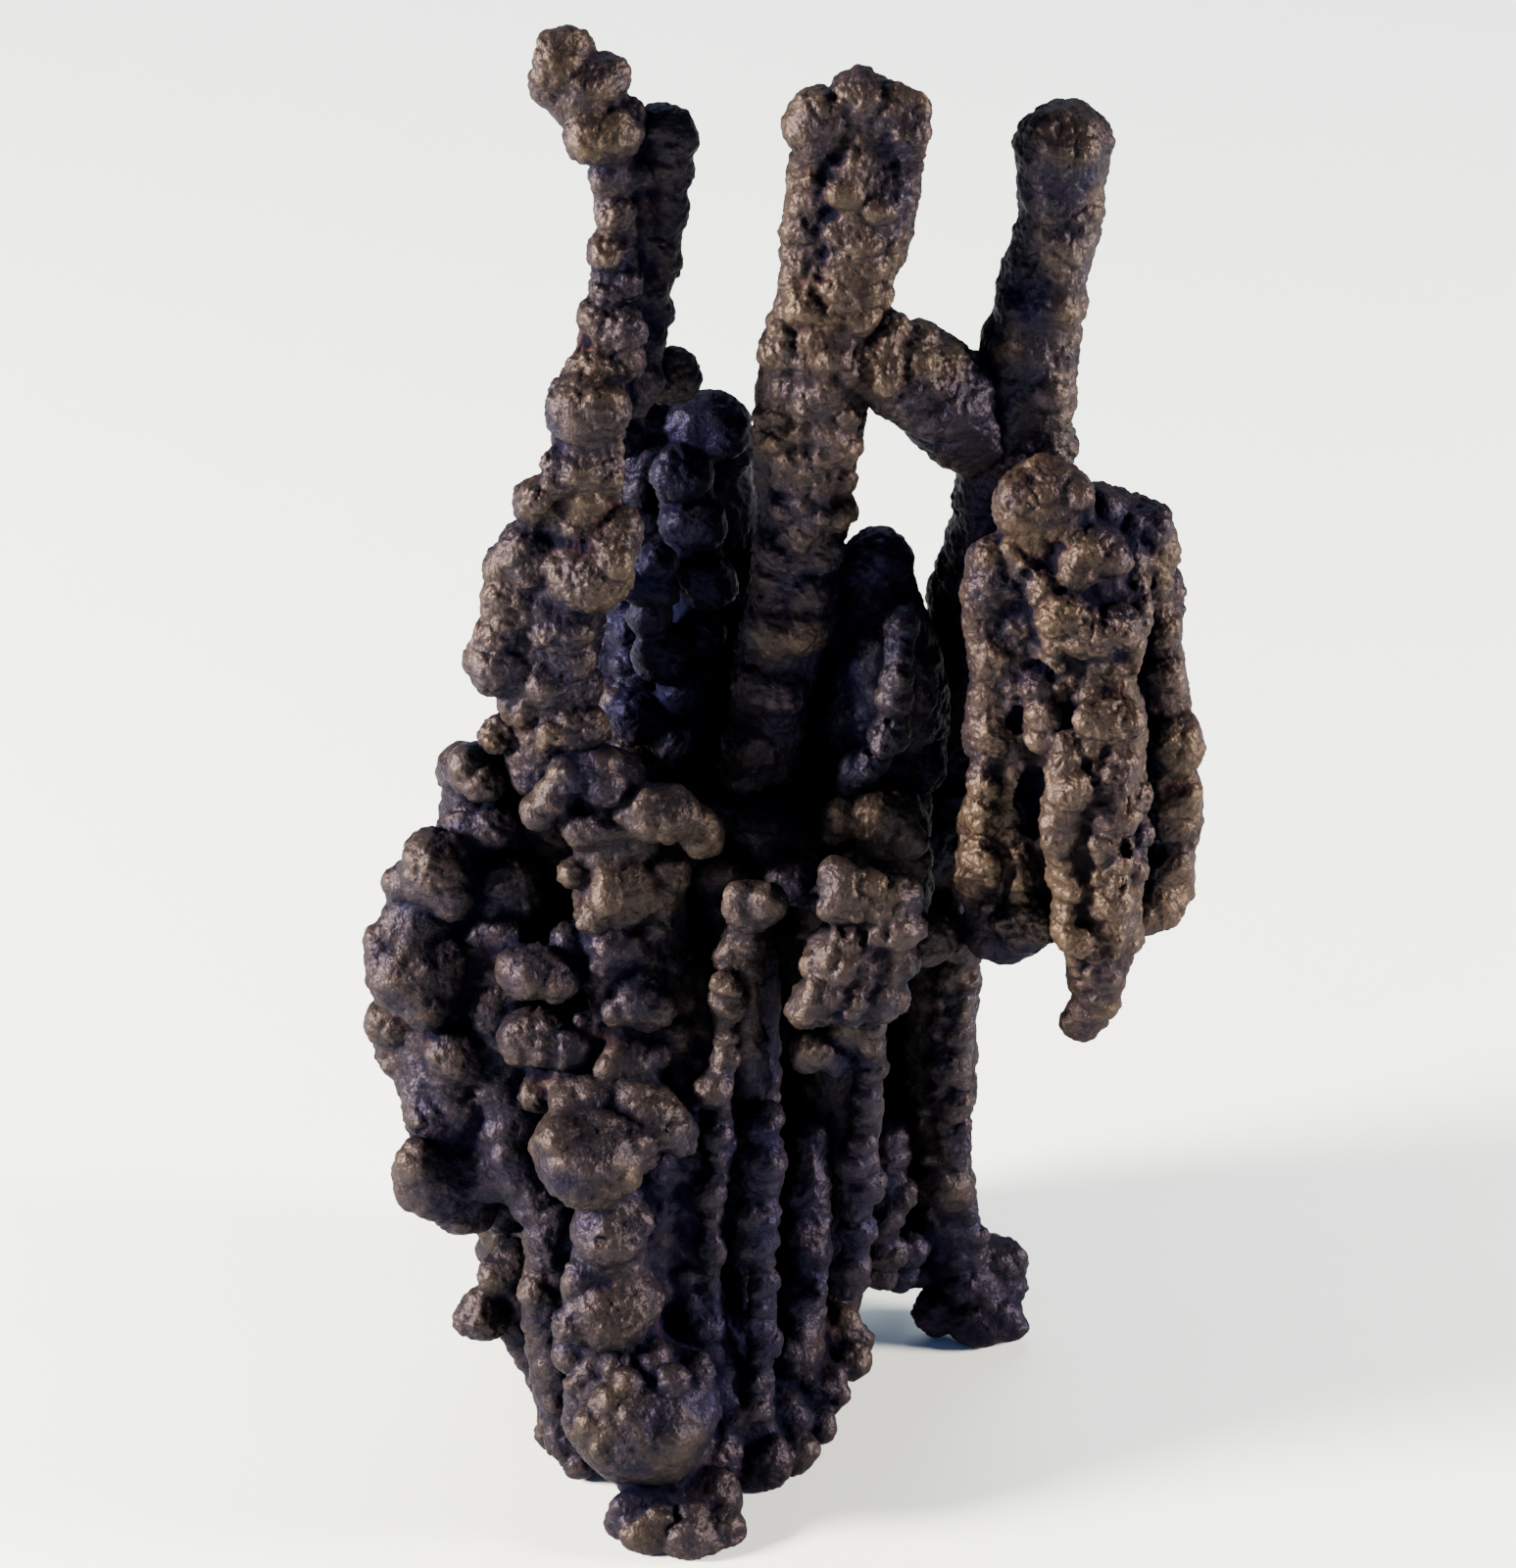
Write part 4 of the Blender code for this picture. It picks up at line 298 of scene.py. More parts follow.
            (740, 838, 24.4, 34, "s"), (812, 868, 23, 24, "s"), (798, 898, 19, 22, "b"), (838, 918, 16, 14, "s"), (818, 905, 18, 18, "k"), (725, 890, 21.4, 28, "k"), (750, 885, 21, 22, "k"),
            (690, 1060, 16.6, 28, "k"), (700, 1110, 15.6, 28, "k"), (715, 1050, 17.2, 22, "k"), (700, 1020, 17, 20, "k"), (672, 1075, 15.6, 20, "k"),
            # nodule under the inner stalk
            (908, 842, 22, 43, "s"), (893, 838, 21.2, 34, "r"), (858, 832, 20.8, 13, "b"), (853, 850, 20.8, 12, "b"), (866, 866, 20.8, 13, "b"), (882, 876, 21, 14, "b"), (925, 880, 22, 28, "k"),
            (930, 862, 22.4, 26, "s"),
            # rough plate
            (872, 914, 14.6, 36, "V", 1.0, 0.9), (905, 938, 14.6, 40, "V", 0.9, 1.2), (926, 912, 15, 28, "k"), (862, 975, 14.0, 42, "V", 1.0, 1.1, 25), (896, 985, 14.2, 40, "V", 0.8, 1.2, 20), (838, 1012, 12.8, 34, "V", 0.7, 1.2, 35),
            (868, 1018, 12.8, 30, "V"), (900, 1012, 13.4, 28, "V"), (928, 950, 13.4, 24, "b"), (926, 985, 13, 20, "b"), (815, 1040, 12, 14, "v"), (830, 1035, 11.8, 16, "v"),
            (848, 905, 13.6, 22, "b"), (890, 898, 13.8, 22, "b"), (836, 1070, 16, 24, "k"), (855, 1085, 16.4, 20, "k"), (820, 1085, 17, 18, "k"), (912, 1020, 14, 20, "v"), (950, 960, 19.4, 30, "k"),
            (825, 985, 13.4, 18, "b"), (858, 890, 14.4, 18, "b"),
            # big nodules at the lower front
            (600, 1178, 8.2, 60, "P", 0.98, 0.96, 0, 1.0), (566, 1160, 8.2, 28, "s"), (640, 1168, 8.4, 34, "s"), (604, 1122, 11.2, 38, "B", 1.2, 0.7), (674, 1142, 10.4, 46, "P", 0.55, 1.0, -42, 0.8), (600, 1118, 10.6, 29, "b", 1.3, 0.9), (640, 1118, 10.4, 28, "b"), (574, 1126, 10.6, 20, "r"),
            (652, 1166, 7, 15, "s"), (675, 1185, 10, 22, "s"), (660, 1200, 9.8, 24, "k"), (552, 1180, 10.6, 14, "b"),
            (621, 1260, 7.6, 42, "P", 1.0, 0.88, 0, 1.0), (608, 1272, 6.4, 20, "P"), (642, 1250, 7.6, 24, "P"), (556, 1270, 10.6, 21, "s", 0.9, 1.1), (578, 1268, 10, 20, "s"), (556, 1290, 10.6, 14, "b"),
            (623, 1328, 7.6, 53, "P", 1.0, 0.88, 0, 1.0), (598, 1312, 7.0, 26, "P"), (552, 1335, 10.6, 25, "s", 1.0, 1.25), (544, 1322, 10.8, 18, "s"), (588, 1300, 9.6, 20, "s"),
            (580, 1355, 9.4, 22, "b"), (505, 1305, 15.4, 25, "k"), (487, 1337, 16.2, 18, "s"), (492, 1322, 16, 16, "k"), (508, 1342, 16, 20, "k"), (531, 1366, 15.2, 20, "k"), (685, 1230, 10, 20, "s", 0.95, 1.15),
            (672, 1206, 10.4, 12, "s"), (700, 1205, 11, 16, "s"), (655, 1438, 6.6, 80, "P", 1.0, 0.95, 0, 1.0), (590, 1384, 7.4, 24, "P"), (605, 1398, 6.0, 19, "P", 1.0, 1.0, 0, 1.0), (634, 1394, 5.1, 18, "P", 1.0, 1.0, 0, 1.0), (667, 1388, 5.6, 21, "P", 1.0, 1.0, 0, 1.0), (644, 1412, 3.4, 15, "P", 1.0, 1.0, 0, 1.0), (592, 1416, 5.3, 16, "P", 1.0, 1.0, 0, 1.0), (607, 1446, 3.0, 19, "P", 1.0, 1.0, 0, 1.0), (626, 1428, 2.9, 15, "P", 1.0, 1.0, 0, 1.0), (648, 1440, 2.1, 17, "P", 1.0, 1.0, 0, 1.0), (588, 1458, 4.0, 14, "P", 1.0, 1.0, 0, 1.0), (712, 1398, 6.7, 22, "P", 1.0, 1.0, 0, 1.0), (620, 1472, 2.1, 18, "P", 1.0, 1.0, 0, 1.0), (690, 1412, 4.1, 18, "P", 1.0, 1.0, 0, 1.0),
            
            (712, 1430, 8.4, 22, "b"), (562, 1398, 11.4, 18, "s"), (567, 1436, 11.6, 18, "s"), (572, 1476, 12.4, 20, "s"), (720, 1278, 10.6, 19, "b", 0.9, 1.15), (690, 1552, 3.6, 56, "K", 1.12, 0.72),
            (650, 1535, 4.2, 27, "b"), (643, 1556, 3.0, 24, "S"), (728, 1530, 4.6, 34, "b"), (700, 1574, 0.7, 29, "S"), (738, 1560, 2.4, 27, "S"), (664, 1566, 1.4, 29, "S"), (718, 1572, 1.4, 25, "S"), (648, 1545, 3.4, 26, "K"), (712, 1545, 1.8, 22, "b"), (672, 1545, 1.6, 20, "b"),
            # lower right edge
            (765, 1474, 11.2, 34, "b"), (775, 1500, 9.4, 26, "K"), (800, 1486, 11.6, 24, "K"), (795, 1448, 14.8, 38, "k"), (815, 1408, 18.2, 34, "k"), (842, 1362, 22.6, 30, "k"), (850, 1322, 24.6, 26, "k"), (740, 1492, 9.8, 30, "b"), (752, 1450, 10.4, 22, "b"),
            (800, 1382, 15.8, 20, "s"), (832, 1420, 15.6, 21, "s"), (842, 1436, 16.8, 20, "k"), (815, 1472, 13.2, 26, "k"), (788, 1492, 10.8, 25, "k"), (868, 1360, 22.6, 20, "k"), (850, 1404, 18, 22, "B"), (768, 1508, 9, 22, "K"), (866, 1385, 20.4, 20, "K"), (858, 1420, 17.4, 18, "K"), (836, 1452, 15, 20, "K"), (872, 1362, 22.4, 18, "K"), (815, 1328, 17.6, 24, "b"), (803, 1312, 17.8, 14, "s"), (860, 1345, 22, 20, "b"), (811, 1222, 19.4, 21, "s"), (808, 1260, 19, 19, "b"), (826, 1285, 20, 20, "k"),
            (860, 1300, 19.6, 18, "b"), (895, 1290, 21.6, 13, "s"), (905, 1250, 21.8, 22, "b"), (892, 1210, 20.8, 17, "k"), (922, 1222, 23.6, 22, "b"), (896, 1185, 21.4, 14, "s"), (882, 1310, 21.6, 14, "k"),
            (590, 1500, 10.6, 20, "k"), (568, 1460, 14.6, 18, "k"), (932, 1160, 27, 16, "b"), (935, 1200, 26.6, 18, "b"),
            # right strip and right foot
            (966, 965, 25.6, 20, "b"), (988, 1010, 25.6, 15, "s", 0.9, 1.7), (972, 1000, 24.8, 18, "r"), (960, 1040, 25, 20, "r"), (980, 1045, 25.6, 18, "b"), (972, 1082, 26, 16, "b"), (962, 1100, 26.4, 18, "b"),
            (978, 1130, 27.2, 17, "b"), (970, 1155, 27.4, 18, "b"), (972, 1185, 28, 18, "b"), (966, 1215, 28.4, 20, "b"), (990, 1240, 30.4, 18, "s"), (948, 1180, 27.6, 16, "b"), (1018, 1286, 31.6, 31, "S"),
            (1022, 1316, 31, 28, "S"), (1018, 1344, 29.4, 29, "K"), (990, 1348, 28.8, 25, "S"), (960, 1338, 29.6, 26, "S"), (1030, 1352, 29.2, 22, "S"), (956, 1280, 31.6, 16, "s"), (976, 1288, 30.8, 15, "s"), (998, 1266, 32.4, 18, "k"),
            (946, 1302, 31, 14, "S"), (925, 1274, 27.5, 24, "K"), (905, 1276, 25, 24, "K"), (940, 1296, 30.6, 20, "K"), (920, 1300, 28, 20, "K"), (898, 1300, 25, 18, "K"), (964, 1255, 31.2, 20, "b"), (948, 1262, 31.4, 12, "b"), (1004, 1354, 28.8, 24, "S"), (982, 1316, 29.6, 20, "b"),
        ],
        "rows": [
            ("b", 1.7, [(738, 1090, 12.2, 13), (733, 1180, 11.2, 13), (726, 1262, 10.4, 13)]),
            ("b", 1.55, [(784, 1150, 11.9, 16), (780, 1250, 11.4, 15), (776, 1360, 10.9, 16), (770, 1440, 10.2, 18)]),
            ("b", 1.6, [(768, 1160, 12.8, 13), (764, 1260, 12.2, 13), (762, 1350, 11.8, 14)]),
            ("b", 1.55, [(890, 1050, 14, 16), (884, 1120, 14.3, 17), (876, 1190, 14.6, 16), (868, 1260, 15, 14)]),
            ("r", 1.25, [(986, 965, 23, 13), (990, 1005, 23.4, 13), (984, 1055, 24, 12), (979, 1120, 25.4, 12), (981, 1190, 27, 12)]),
            ("r", 1.35, [(962, 985, 23, 14), (956, 1055, 24, 13), (958, 1130, 25.4, 13), (960, 1215, 27, 13)]),
            ("b", 1.6, [(940, 1130, 27, 10), (942, 1180, 28, 11), (946, 1240, 29, 12)]),
            ("r", 1.2, [(860, 896, 12.6, 12), (852, 950, 12.2, 13), (836, 1000, 11.4, 13), (820, 1038, 11.2, 12)]),
            ("r", 1.25, [(878, 890, 12.2, 12), (873, 950, 11.8, 12), (860, 1000, 11.0, 13), (844, 1038, 10.8, 12)]),
            ("r", 1.2, [(897, 898, 12.2, 12), (893, 955, 11.8, 13), (884, 1000, 11.0, 12), (870, 1036, 11, 12)]),
            ("r", 1.25, [(916, 915, 12.6, 12), (914, 965, 12.0, 12), (908, 1005, 11.6, 13), (896, 1034, 11.8, 12)]),
            ("b", 1.6, [(981, 1060, 27, 12), (979, 1110, 27.6, 11), (983, 1150, 28.2, 12), (981, 1225, 29.2, 12)]),
            ("b", 1.6, [(750, 1010, 12.4, 14), (748, 1080, 12.2, 12)]),
            ("k", 1.4, [(700, 1300, 11.4, 17), (712, 1360, 11, 18)]),
        ],
    },
}

# Hollows: (across, down, depth, radius) with, where they are not round, the width,
# the height, the lean in degrees and the depth, as shares of the radius.
HOLLOWS = {
    "base_cluster": [
        (881, 840, 18.6, 13, 1.0, 0.75, -25, 1.4), (874, 852, 18.8, 9, 1.6, 0.6, 0, 1.2), (748, 1098, 12, 8, 0.7, 1.5), (541, 1058, 11.2, 4.5, 0.5, 3.0),
        (940, 915, 17.4, 10, 1.3, 0.7, -20, 1.0), (786, 1118, 13.2, 6, 0.8, 1.5), (612, 1268, 5.4, 7, 1.3, 0.6), (648, 1272, 5.2, 6, 1.2, 0.5),
        (690, 1236, 8.2, 9, 0.9, 1.2), 
        
    ],
    "hanging_cluster": [
        (1056, 822, 18.6, 20, 0.95, 2.1, 0, 1.6), (1056, 690, 17.6, 16, 1.25, 0.85, 0, 1.3), (1038, 736, 18.4, 13, 0.85, 1.4, 0, 1.2), (1106, 830, 13.6, 9, 0.75, 6.0, 0, 1.1),
        (1152, 822, 14.4, 8, 0.8, 1.5, 0, 1.0), (1152, 866, 14, 8, 0.8, 1.5, 0, 1.0), (1146, 905, 13.8, 7, 0.7, 1.6), (1046, 590, 18.6, 8, 1.3, 0.7),
        (1148, 610, 18.8, 9, 1.3, 0.7, -30), (1072, 710, 16.4, 8, 0.9, 1.3), (1120, 1010, 11.6, 4, 0.6, 6.0, -3), (1103, 1000, 11.8, 3.5, 0.5, 6.0, 2), (1060, 905, 16.4, 6, 0.6, 4.0), (1030, 905, 17.6, 6, 0.6, 4.0),
        (1122, 895, 12, 5, 0.6, 3.0), (1070, 565, 18.8, 8, 1.4, 0.7),
    ],
    "left_stalk": [
        (577, 78, 24.0, 5, 0.5, 3.2, 14), (552, 548, 19.8, 9, 1.6, 0.6, 25), (528, 628, 19, 10, 1.0, 1.0), (518, 560, 20.4, 8, 1.0, 1.3),
        (545, 590, 18.6, 7, 1.5, 0.7, 40), (560, 655, 17.8, 7, 2.6, 0.6), (578, 712, 17.2, 7, 1.6, 0.7), (640, 560, 18.6, 4, 0.8, 3.2, 20),
    ],
    "middle_stalk": [
        (884, 232, 23.2, 5, 3.6, 0.7, 8), (870, 292, 22.8, 6, 3.6, 0.7), (858, 118, 24.2, 4, 0.6, 4.2), (908, 122, 24.2, 4, 0.7, 3.0, 20),
        (905, 160, 24, 4, 0.7, 3.2, 10), (806, 590, 22, 7, 1.2, 0.8), (856, 350, 21.8, 4, 0.8, 3.4),
    ],
    "inner_stalk": [(893, 665, 21.6, 6, 0.8, 4.6, 4), (934, 680, 22.6, 6, 0.7, 5.0), (884, 762, 21.8, 6, 0.8, 3.0, -30), (905, 735, 21, 5, 0.7, 2.4), (862, 700, 22.4, 5, 0.8, 3.0)],
}
# Breaks: (across, down, depth, reach, the direction that the broken face looks)
BREAKS = {
    "left_stalk": [(543, 62, 27, 60, (-0.95, 0.15, 0.26)), (562, 31, 27, 60, (-0.25, 0.48, 0.84)), (550, 102, 27, 50, (-0.75, -0.33, -0.57)), (556, 72, 24.6, 46, (-0.60, -0.78, 0.18)), (590, 62, 24.2, 40, (0.30, -0.94, 0.15))],
    "middle_stalk": [(920, 86, 28, 110, (0.46, 0.445, 0.77)), (945, 130, 28, 110, (1.0, 0.0, -0.03)), (918, 118, 24.4, 60, (0.42, -0.88, 0.22))],
    "hanging_cluster": [(1113, 1054, 15, 30, (0.1, -0.3, -0.95))],
}
# Zones of the skin with painted shade, darker than the rest (share under 1), or painted light,
# paler than the rest (share over 1): (across, down, depth, reach, share)
LIGHT_AND_SHADE_ZONES = [
    (830, 1240, 14, 190, 0.45), (740, 1420, 10, 120, 0.60), (1000, 1310, 27, 110, 0.50), (500, 1200, 13, 80, 0.60), (1150, 520, 23, 62, 0.45),
    (1025, 965, 19, 60, 0.40), (1034, 300, 27, 50, 0.55), (1050, 190, 27, 44, 0.55), (1020, 420, 26, 60, 0.55), (1010, 640, 20, 60, 1.30), (1108, 200, 29, 34, 1.35), (1098, 260, 28.5, 34, 1.35), (1088, 330, 28, 34, 1.35), (1080, 400, 28, 34, 1.35), (960, 425, 24, 40, 0.60),
    (826, 730, 26, 90, 0.50), (895, 570, 25, 66, 0.55), (690, 180, 27, 80, 0.50), (672, 290, 27, 66, 0.50), (990, 600, 30, 150, 0.45),
    (1056, 822, 18.6, 30, 0.35), (1050, 700, 18, 24, 0.45), (1162, 860, 19, 36, 0.50), (1150, 645, 20, 24, 0.50), (1095, 605, 19, 22, 0.60),
    (603, 584, 18, 42, 0.75), (700, 660, 30, 130, 0.50), (845, 700, 29, 50, 0.40), (962, 830, 29, 70, 0.50), (918, 690, 22, 50, 1.60), (895, 842, 19, 50, 1.45), (770, 720, 23, 70, 1.20), (1100, 880, 13, 130, 1.15), (870, 975, 11, 80, 1.10), (845, 1080, 16, 34, 0.45), (868, 690, 26, 36, 0.40), (650, 690, 31, 60, 0.45), (740, 950, 12, 60, 1.15),
    (655, 880, 16, 80, 1.15), (840, 420, 22, 120, 1.15), (640, 230, 25, 44, 1.35), (700, 500, 30, 120, 0.60), (480, 1000, 15, 60, 0.75),
]

# ---------------------------------------------------------------------------
# Distance fields.  Everything here is in millimetres until the mesh is made.
# ---------------------------------------------------------------------------
KNOB_STEP = 0.95
KNOBS_ROUND = 3
STYLES = "sbkrwvp"
# style: levels of beads as (smallest, largest radius, share of the radius that
# stands proud, spacing in mm, share of the places that hold one)
BEADS = {
    "s": [(1.3, 2.1, 0.10, 3.0, 0.45), None],
    "p": [None, None],
    "b": [(0.80, 1.30, 0.26, 1.9, 0.75), (0.48, 0.66, 0.40, 1.1, 0.35)],
    "k": [(1.00, 1.60, 0.24, 2.4, 0.75), (0.52, 0.78, 0.34, 1.6, 0.30)],
    "r": [(0.70, 1.15, 0.34, 1.9, 0.75), (0.45, 0.62, 0.50, 1.0, 0.55)],
    "w": [(1.2, 1.9, 0.08, 2.8, 0.60), None],
    "v": [(0.60, 1.00, 0.48, 1.7, 0.80), (0.45, 0.60, 0.60, 1.0, 0.60)],
}
RING = {"w": (2.8, 0.40), "b": (2.0, 0.12), "k": (2.3, 0.10), "s": (2.4, 0.06), "r": (1.6, 0.08), "v": (3.0, 0.03), "p": (2.6, 0.05)}
MARGIN = 1.6
SOFTEN = 0.20
MELT = {"cross_branch": 0.7, "right_stalk": 0.4}     # pieces whose lobes run more into each other
SEATED = 31               # lobes up to this many sheet units are seated on the surface
STATION = np.array([_EYE[0] - CENTRE_MM[0], _EYE[1] - CENTRE_MM[1], _EYE[2]])
SWAY = 0.42               # how far the slow wander bends a lobe, mm
RUFFLE = 0.16             # and the quick one


def swell(n, cells, rng):
    """Smooth random numbers from -1 to 1 on a grid of n points, with this many cells to a bump."""
    coarse = [int(np.ceil((m - 1) / cells)) + 2 for m in n]
    out = rng.uniform(-1, 1, coarse).astype(np.float32)
    for axis, m in enumerate(n):
        g = np.arange(m) / cells
        i = np.floor(g).astype(int)
        f = (g - i).astype(np.float32)
        f = f * f * (3 - 2 * f)
        shape = [1, 1, 1]
        shape[axis] = m
        f = f.reshape(shape)
        out = np.take(out, i, axis) * (1 - f) + np.take(out, i + 1, axis) * f
    return out


class Field:
    """A grid of distances to one piece, with the style of the nearest part."""

    def __init__(self, low, high, step, rng):
        self.h = step
        self.low = np.floor(np.asarray(low) / step) * step
        self.n = np.ceil((np.asarray(high) - self.low) / step).astype(int) + 1
        self.d = np.full(self.n, 9.0, np.float32)
        self.style = np.zeros(self.n, np.uint8)
        self.warp = [SWAY * swell(self.n, 5.2 / step, rng) + RUFFLE * swell(self.n, 1.9 / step, rng) for _ in range(3)]

    def window(self, low, high):
        a = np.maximum(np.floor((np.asarray(low) - self.low) / self.h).astype(int), 0)
        b = np.minimum(np.ceil((np.asarray(high) - self.low) / self.h).astype(int) + 1, self.n)
        if (b <= a).any():
            return None, None
        axes = [
            (self.low[i] + self.h * np.arange(a[i], b[i], dtype=np.float32)).astype(np.float32).reshape([-1 if j == i else 1 for j in range(3)])
            for i in range(3)
        ]
        return tuple(slice(a[i], b[i]) for i in range(3)), axes

    def join(self, where, new, style, soften):
        old = self.d[where]
        gap = np.maximum(soften - np.abs(old - new), 0.0)
        merged = np.minimum(old, new) - gap * gap / (4.0 * soften)
        self.d[where] = merged
        if style is not None:
            self.style[where] = np.where(new < old, style, self.style[where])

    def about(self, centre, axes, where, lean):
        """Warped coordinates round a centre, turned in the X-Z plane by the lean."""
        x, y, z = (axes[i] - np.float32(centre[i]) + self.warp[i][where] for i in range(3))
        c, s = np.float32(cos(lean)), np.float32(sin(lean))
        return c * x - s * z, y, s * x + c * z

    def ellipsoid(self, centre, radii, lean, style, soften=SOFTEN):
        reach = max(radii) + MARGIN
        where, axes = self.window(np.asarray(centre) - reach, np.asarray(centre) + reach)
        if where is None:
            return
        u, y, w = self.about(centre, axes, where, lean)
        a, b, e = (np.float32(r) for r in radii)
        k0 = np.sqrt((u / a) ** 2 + (y / b) ** 2 + (w / e) ** 2)
        k1 = np.sqrt((u / (a * a)) ** 2 + (y / (b * b)) ** 2 + (w / (e * e)) ** 2)
        self.join(where, k0 * (k0 - 1.0) / np.maximum(k1, 1e-6), style, soften)

    def scoop(self, centre, radii, lean, edge=0.25):
        """A hollow taken out of the surface, with an uneven edge."""
        reach = max(radii) + 1.0
        where, axes = self.window(np.asarray(centre) - reach, np.asarray(centre) + reach)
        if where is None:
            return
        u, y, w = self.about(centre, axes, where, lean)
        a, b, e = (np.float32(r) for r in radii)
        k0 = np.sqrt((u / a) ** 2 + (y / b) ** 2 + (w / e) ** 2)
        k1 = np.sqrt((u / (a * a)) ** 2 + (y / (b * b)) ** 2 + (w / (e * e)) ** 2)
        new = -k0 * (k0 - 1.0) / np.maximum(k1, 1e-6)
        old = self.d[where]
        gap = np.maximum(edge - np.abs(old - new), 0.0)
        self.d[where] = np.maximum(old, new) + gap * gap / (4.0 * edge)

    def chip(self, centre, normal, reach):
        """A flat break: everything beyond the plane, within reach of its centre, is gone."""
        where, axes = self.window(np.asarray(centre) - reach, np.asarray(centre) + reach)
        if where is None:
            return
        x, y, z = (axes[i] - np.float32(centre[i]) + 0.25 * self.warp[i][where] for i in range(3))
        plane = x * np.float32(normal[0]) + y * np.float32(normal[1]) + z * np.float32(normal[2])
        fade = np.maximum(np.sqrt(x * x + y * y + z * z) - 0.75 * reach, 0.0) * 3.0
        self.d[where] = np.maximum(self.d[where], plane - fade)

    def sphere(self, centre, r, soften=0.09, margin=0.4):
        reach = r + margin
        where, axes = self.window(np.asarray(centre) - reach, np.asarray(centre) + reach)
        if where is None:
            return
        x, y, z = (axes[i] - np.float32(centre[i]) for i in range(3))
        self.join(where, np.sqrt(x * x + y * y + z * z) - np.float32(r), None, soften)

    def stem(self, a, b, ra, rb, style, letter, along0, warp, soften=SOFTEN):
        """A tapering round stem from a to b with faint rings across it."""
        r = max(ra, rb) + MARGIN
        low, high = np.minimum(a, b) - r, np.maximum(a, b) + r
        where, axes = self.window(low, high)
        if where is None:
            return
        ab = (b - a).astype(np.float32)
        length = float(np.linalg.norm(ab))
        x, y, z = (axes[i] - np.float32(a[i]) + self.warp[i][where] for i in range(3))
        raw = (x * ab[0] + y * ab[1] + z * ab[2]) / np.float32(length * length)
        t = np.clip(raw, 0.0, 1.0)
        d = np.sqrt((x - t * ab[0]) ** 2 + (y - t * ab[1]) ** 2 + (z - t * ab[2]) ** 2) - (ra + (rb - ra) * t)
        pitch, depth = RING[letter]
        px, py, pz = (axes[i] for i in range(3))
        s = (along0 + t * length) / pitch
        s = s + 0.22 * np.sin(1.1 * px + 1.3 * py + warp) + 0.16 * np.sin(1.9 * pz - 1.4 * px + 2 * warp)
        d = d - depth * (np.sqrt(np.abs(np.sin(pi * s))) - 0.6)
        self.join(where, d, style, soften)

    def filled(self, reach, lift):
        """Close the narrow gaps: wherever the mean of the distances round about is inside, so is this."""
        cells = max(1, int(round(reach / self.h)))
        mean = boxed_blur(boxed_blur(np.clip(self.d, -2.2 * reach, 2.2 * reach), cells), max(1, cells // 2))
        mean += np.float32(lift)
        gap = np.maximum(0.2 - np.abs(self.d - mean), 0.0)
        self.d = np.minimum(self.d, mean) - gap * gap / 0.8

    def at(self, points):
        """Trilinear reading of the distance at the given points."""
        return read_grid(self.d, self.low, self.h, points)


def read_grid(grid, low, step, points):
    g = np.clip((points - low) / step, 0, np.array(grid.shape) - 1.001)
    i = g.astype(int)
    f = (g - i).astype(np.float32)
    out = np.zeros(len(points), np.float32)
    for dx in (0, 1):
        for dy in (0, 1):
            for dz in (0, 1):
                w = (f[:, 0] if dx else 1 - f[:, 0]) * (f[:, 1] if dy else 1 - f[:, 1]) * (f[:, 2] if dz else 1 - f[:, 2])
                out += w * grid[i[:, 0] + dx, i[:, 1] + dy, i[:, 2] + dz]
    return out


def knobs(stations, seed):
    """Nodules set round a knobby stem: a few at each step along it, at seeded angles."""
    rng = Random(seed)
    ends = []
    for across, down, depth, radius in stations:
        spot, unit = place(across, down, depth)
        ends.append((Vector(spot), radius * unit))
    made = []
    for (a, ra), (b, rb) in zip(ends, ends[1:]):
        along = (b - a).normalized()
        side = along.orthogonal().normalized()
        steps = max(1, round((b - a).length / (0.5 * (ra + rb) * KNOB_STEP)))
        for n in range(steps):
            t = (n + 0.5) / steps
            r = ra + (rb - ra) * t
            turn = rng.uniform(0.0, 2.0 * pi)
            for k in range(KNOBS_ROUND):
                angle = turn + 2.0 * pi * k / KNOBS_ROUND + rng.uniform(-0.5, 0.5)
                size = r * rng.uniform(0.48, 0.74)
                out = Matrix.Rotation(angle, 3, along) @ side
                spot = a.lerp(b, t) + out * r * 0.66 + along * r * rng.uniform(-0.4, 0.4)
                made.append((np.array(spot), size))
    return made


def beads_of(rows):
    """The beads of each row: (across, down, depth, radius, style), spaced by the radius."""
    made = []
    for number, (style, ratio, stations) in enumerate(rows):
        rng = Random(number)
        for a, b in zip(stations, stations[1:]):
            reach = hypot(b[0] - a[0], b[1] - a[1])
            n = max(1, round(reach / (ratio * 0.5 * (a[3] + b[3]))))
            for k in range(n + (b is stations[-1])):
                across, down, depth, radius = (a[i] + (b[i] - a[i]) * k / n for i in range(4))
                across += rng.uniform(-0.2, 0.2) * radius
                down += rng.uniform(-0.2, 0.2) * radius
                made.append((across, down, depth, radius * rng.uniform(0.82, 1.14), style))
    return made


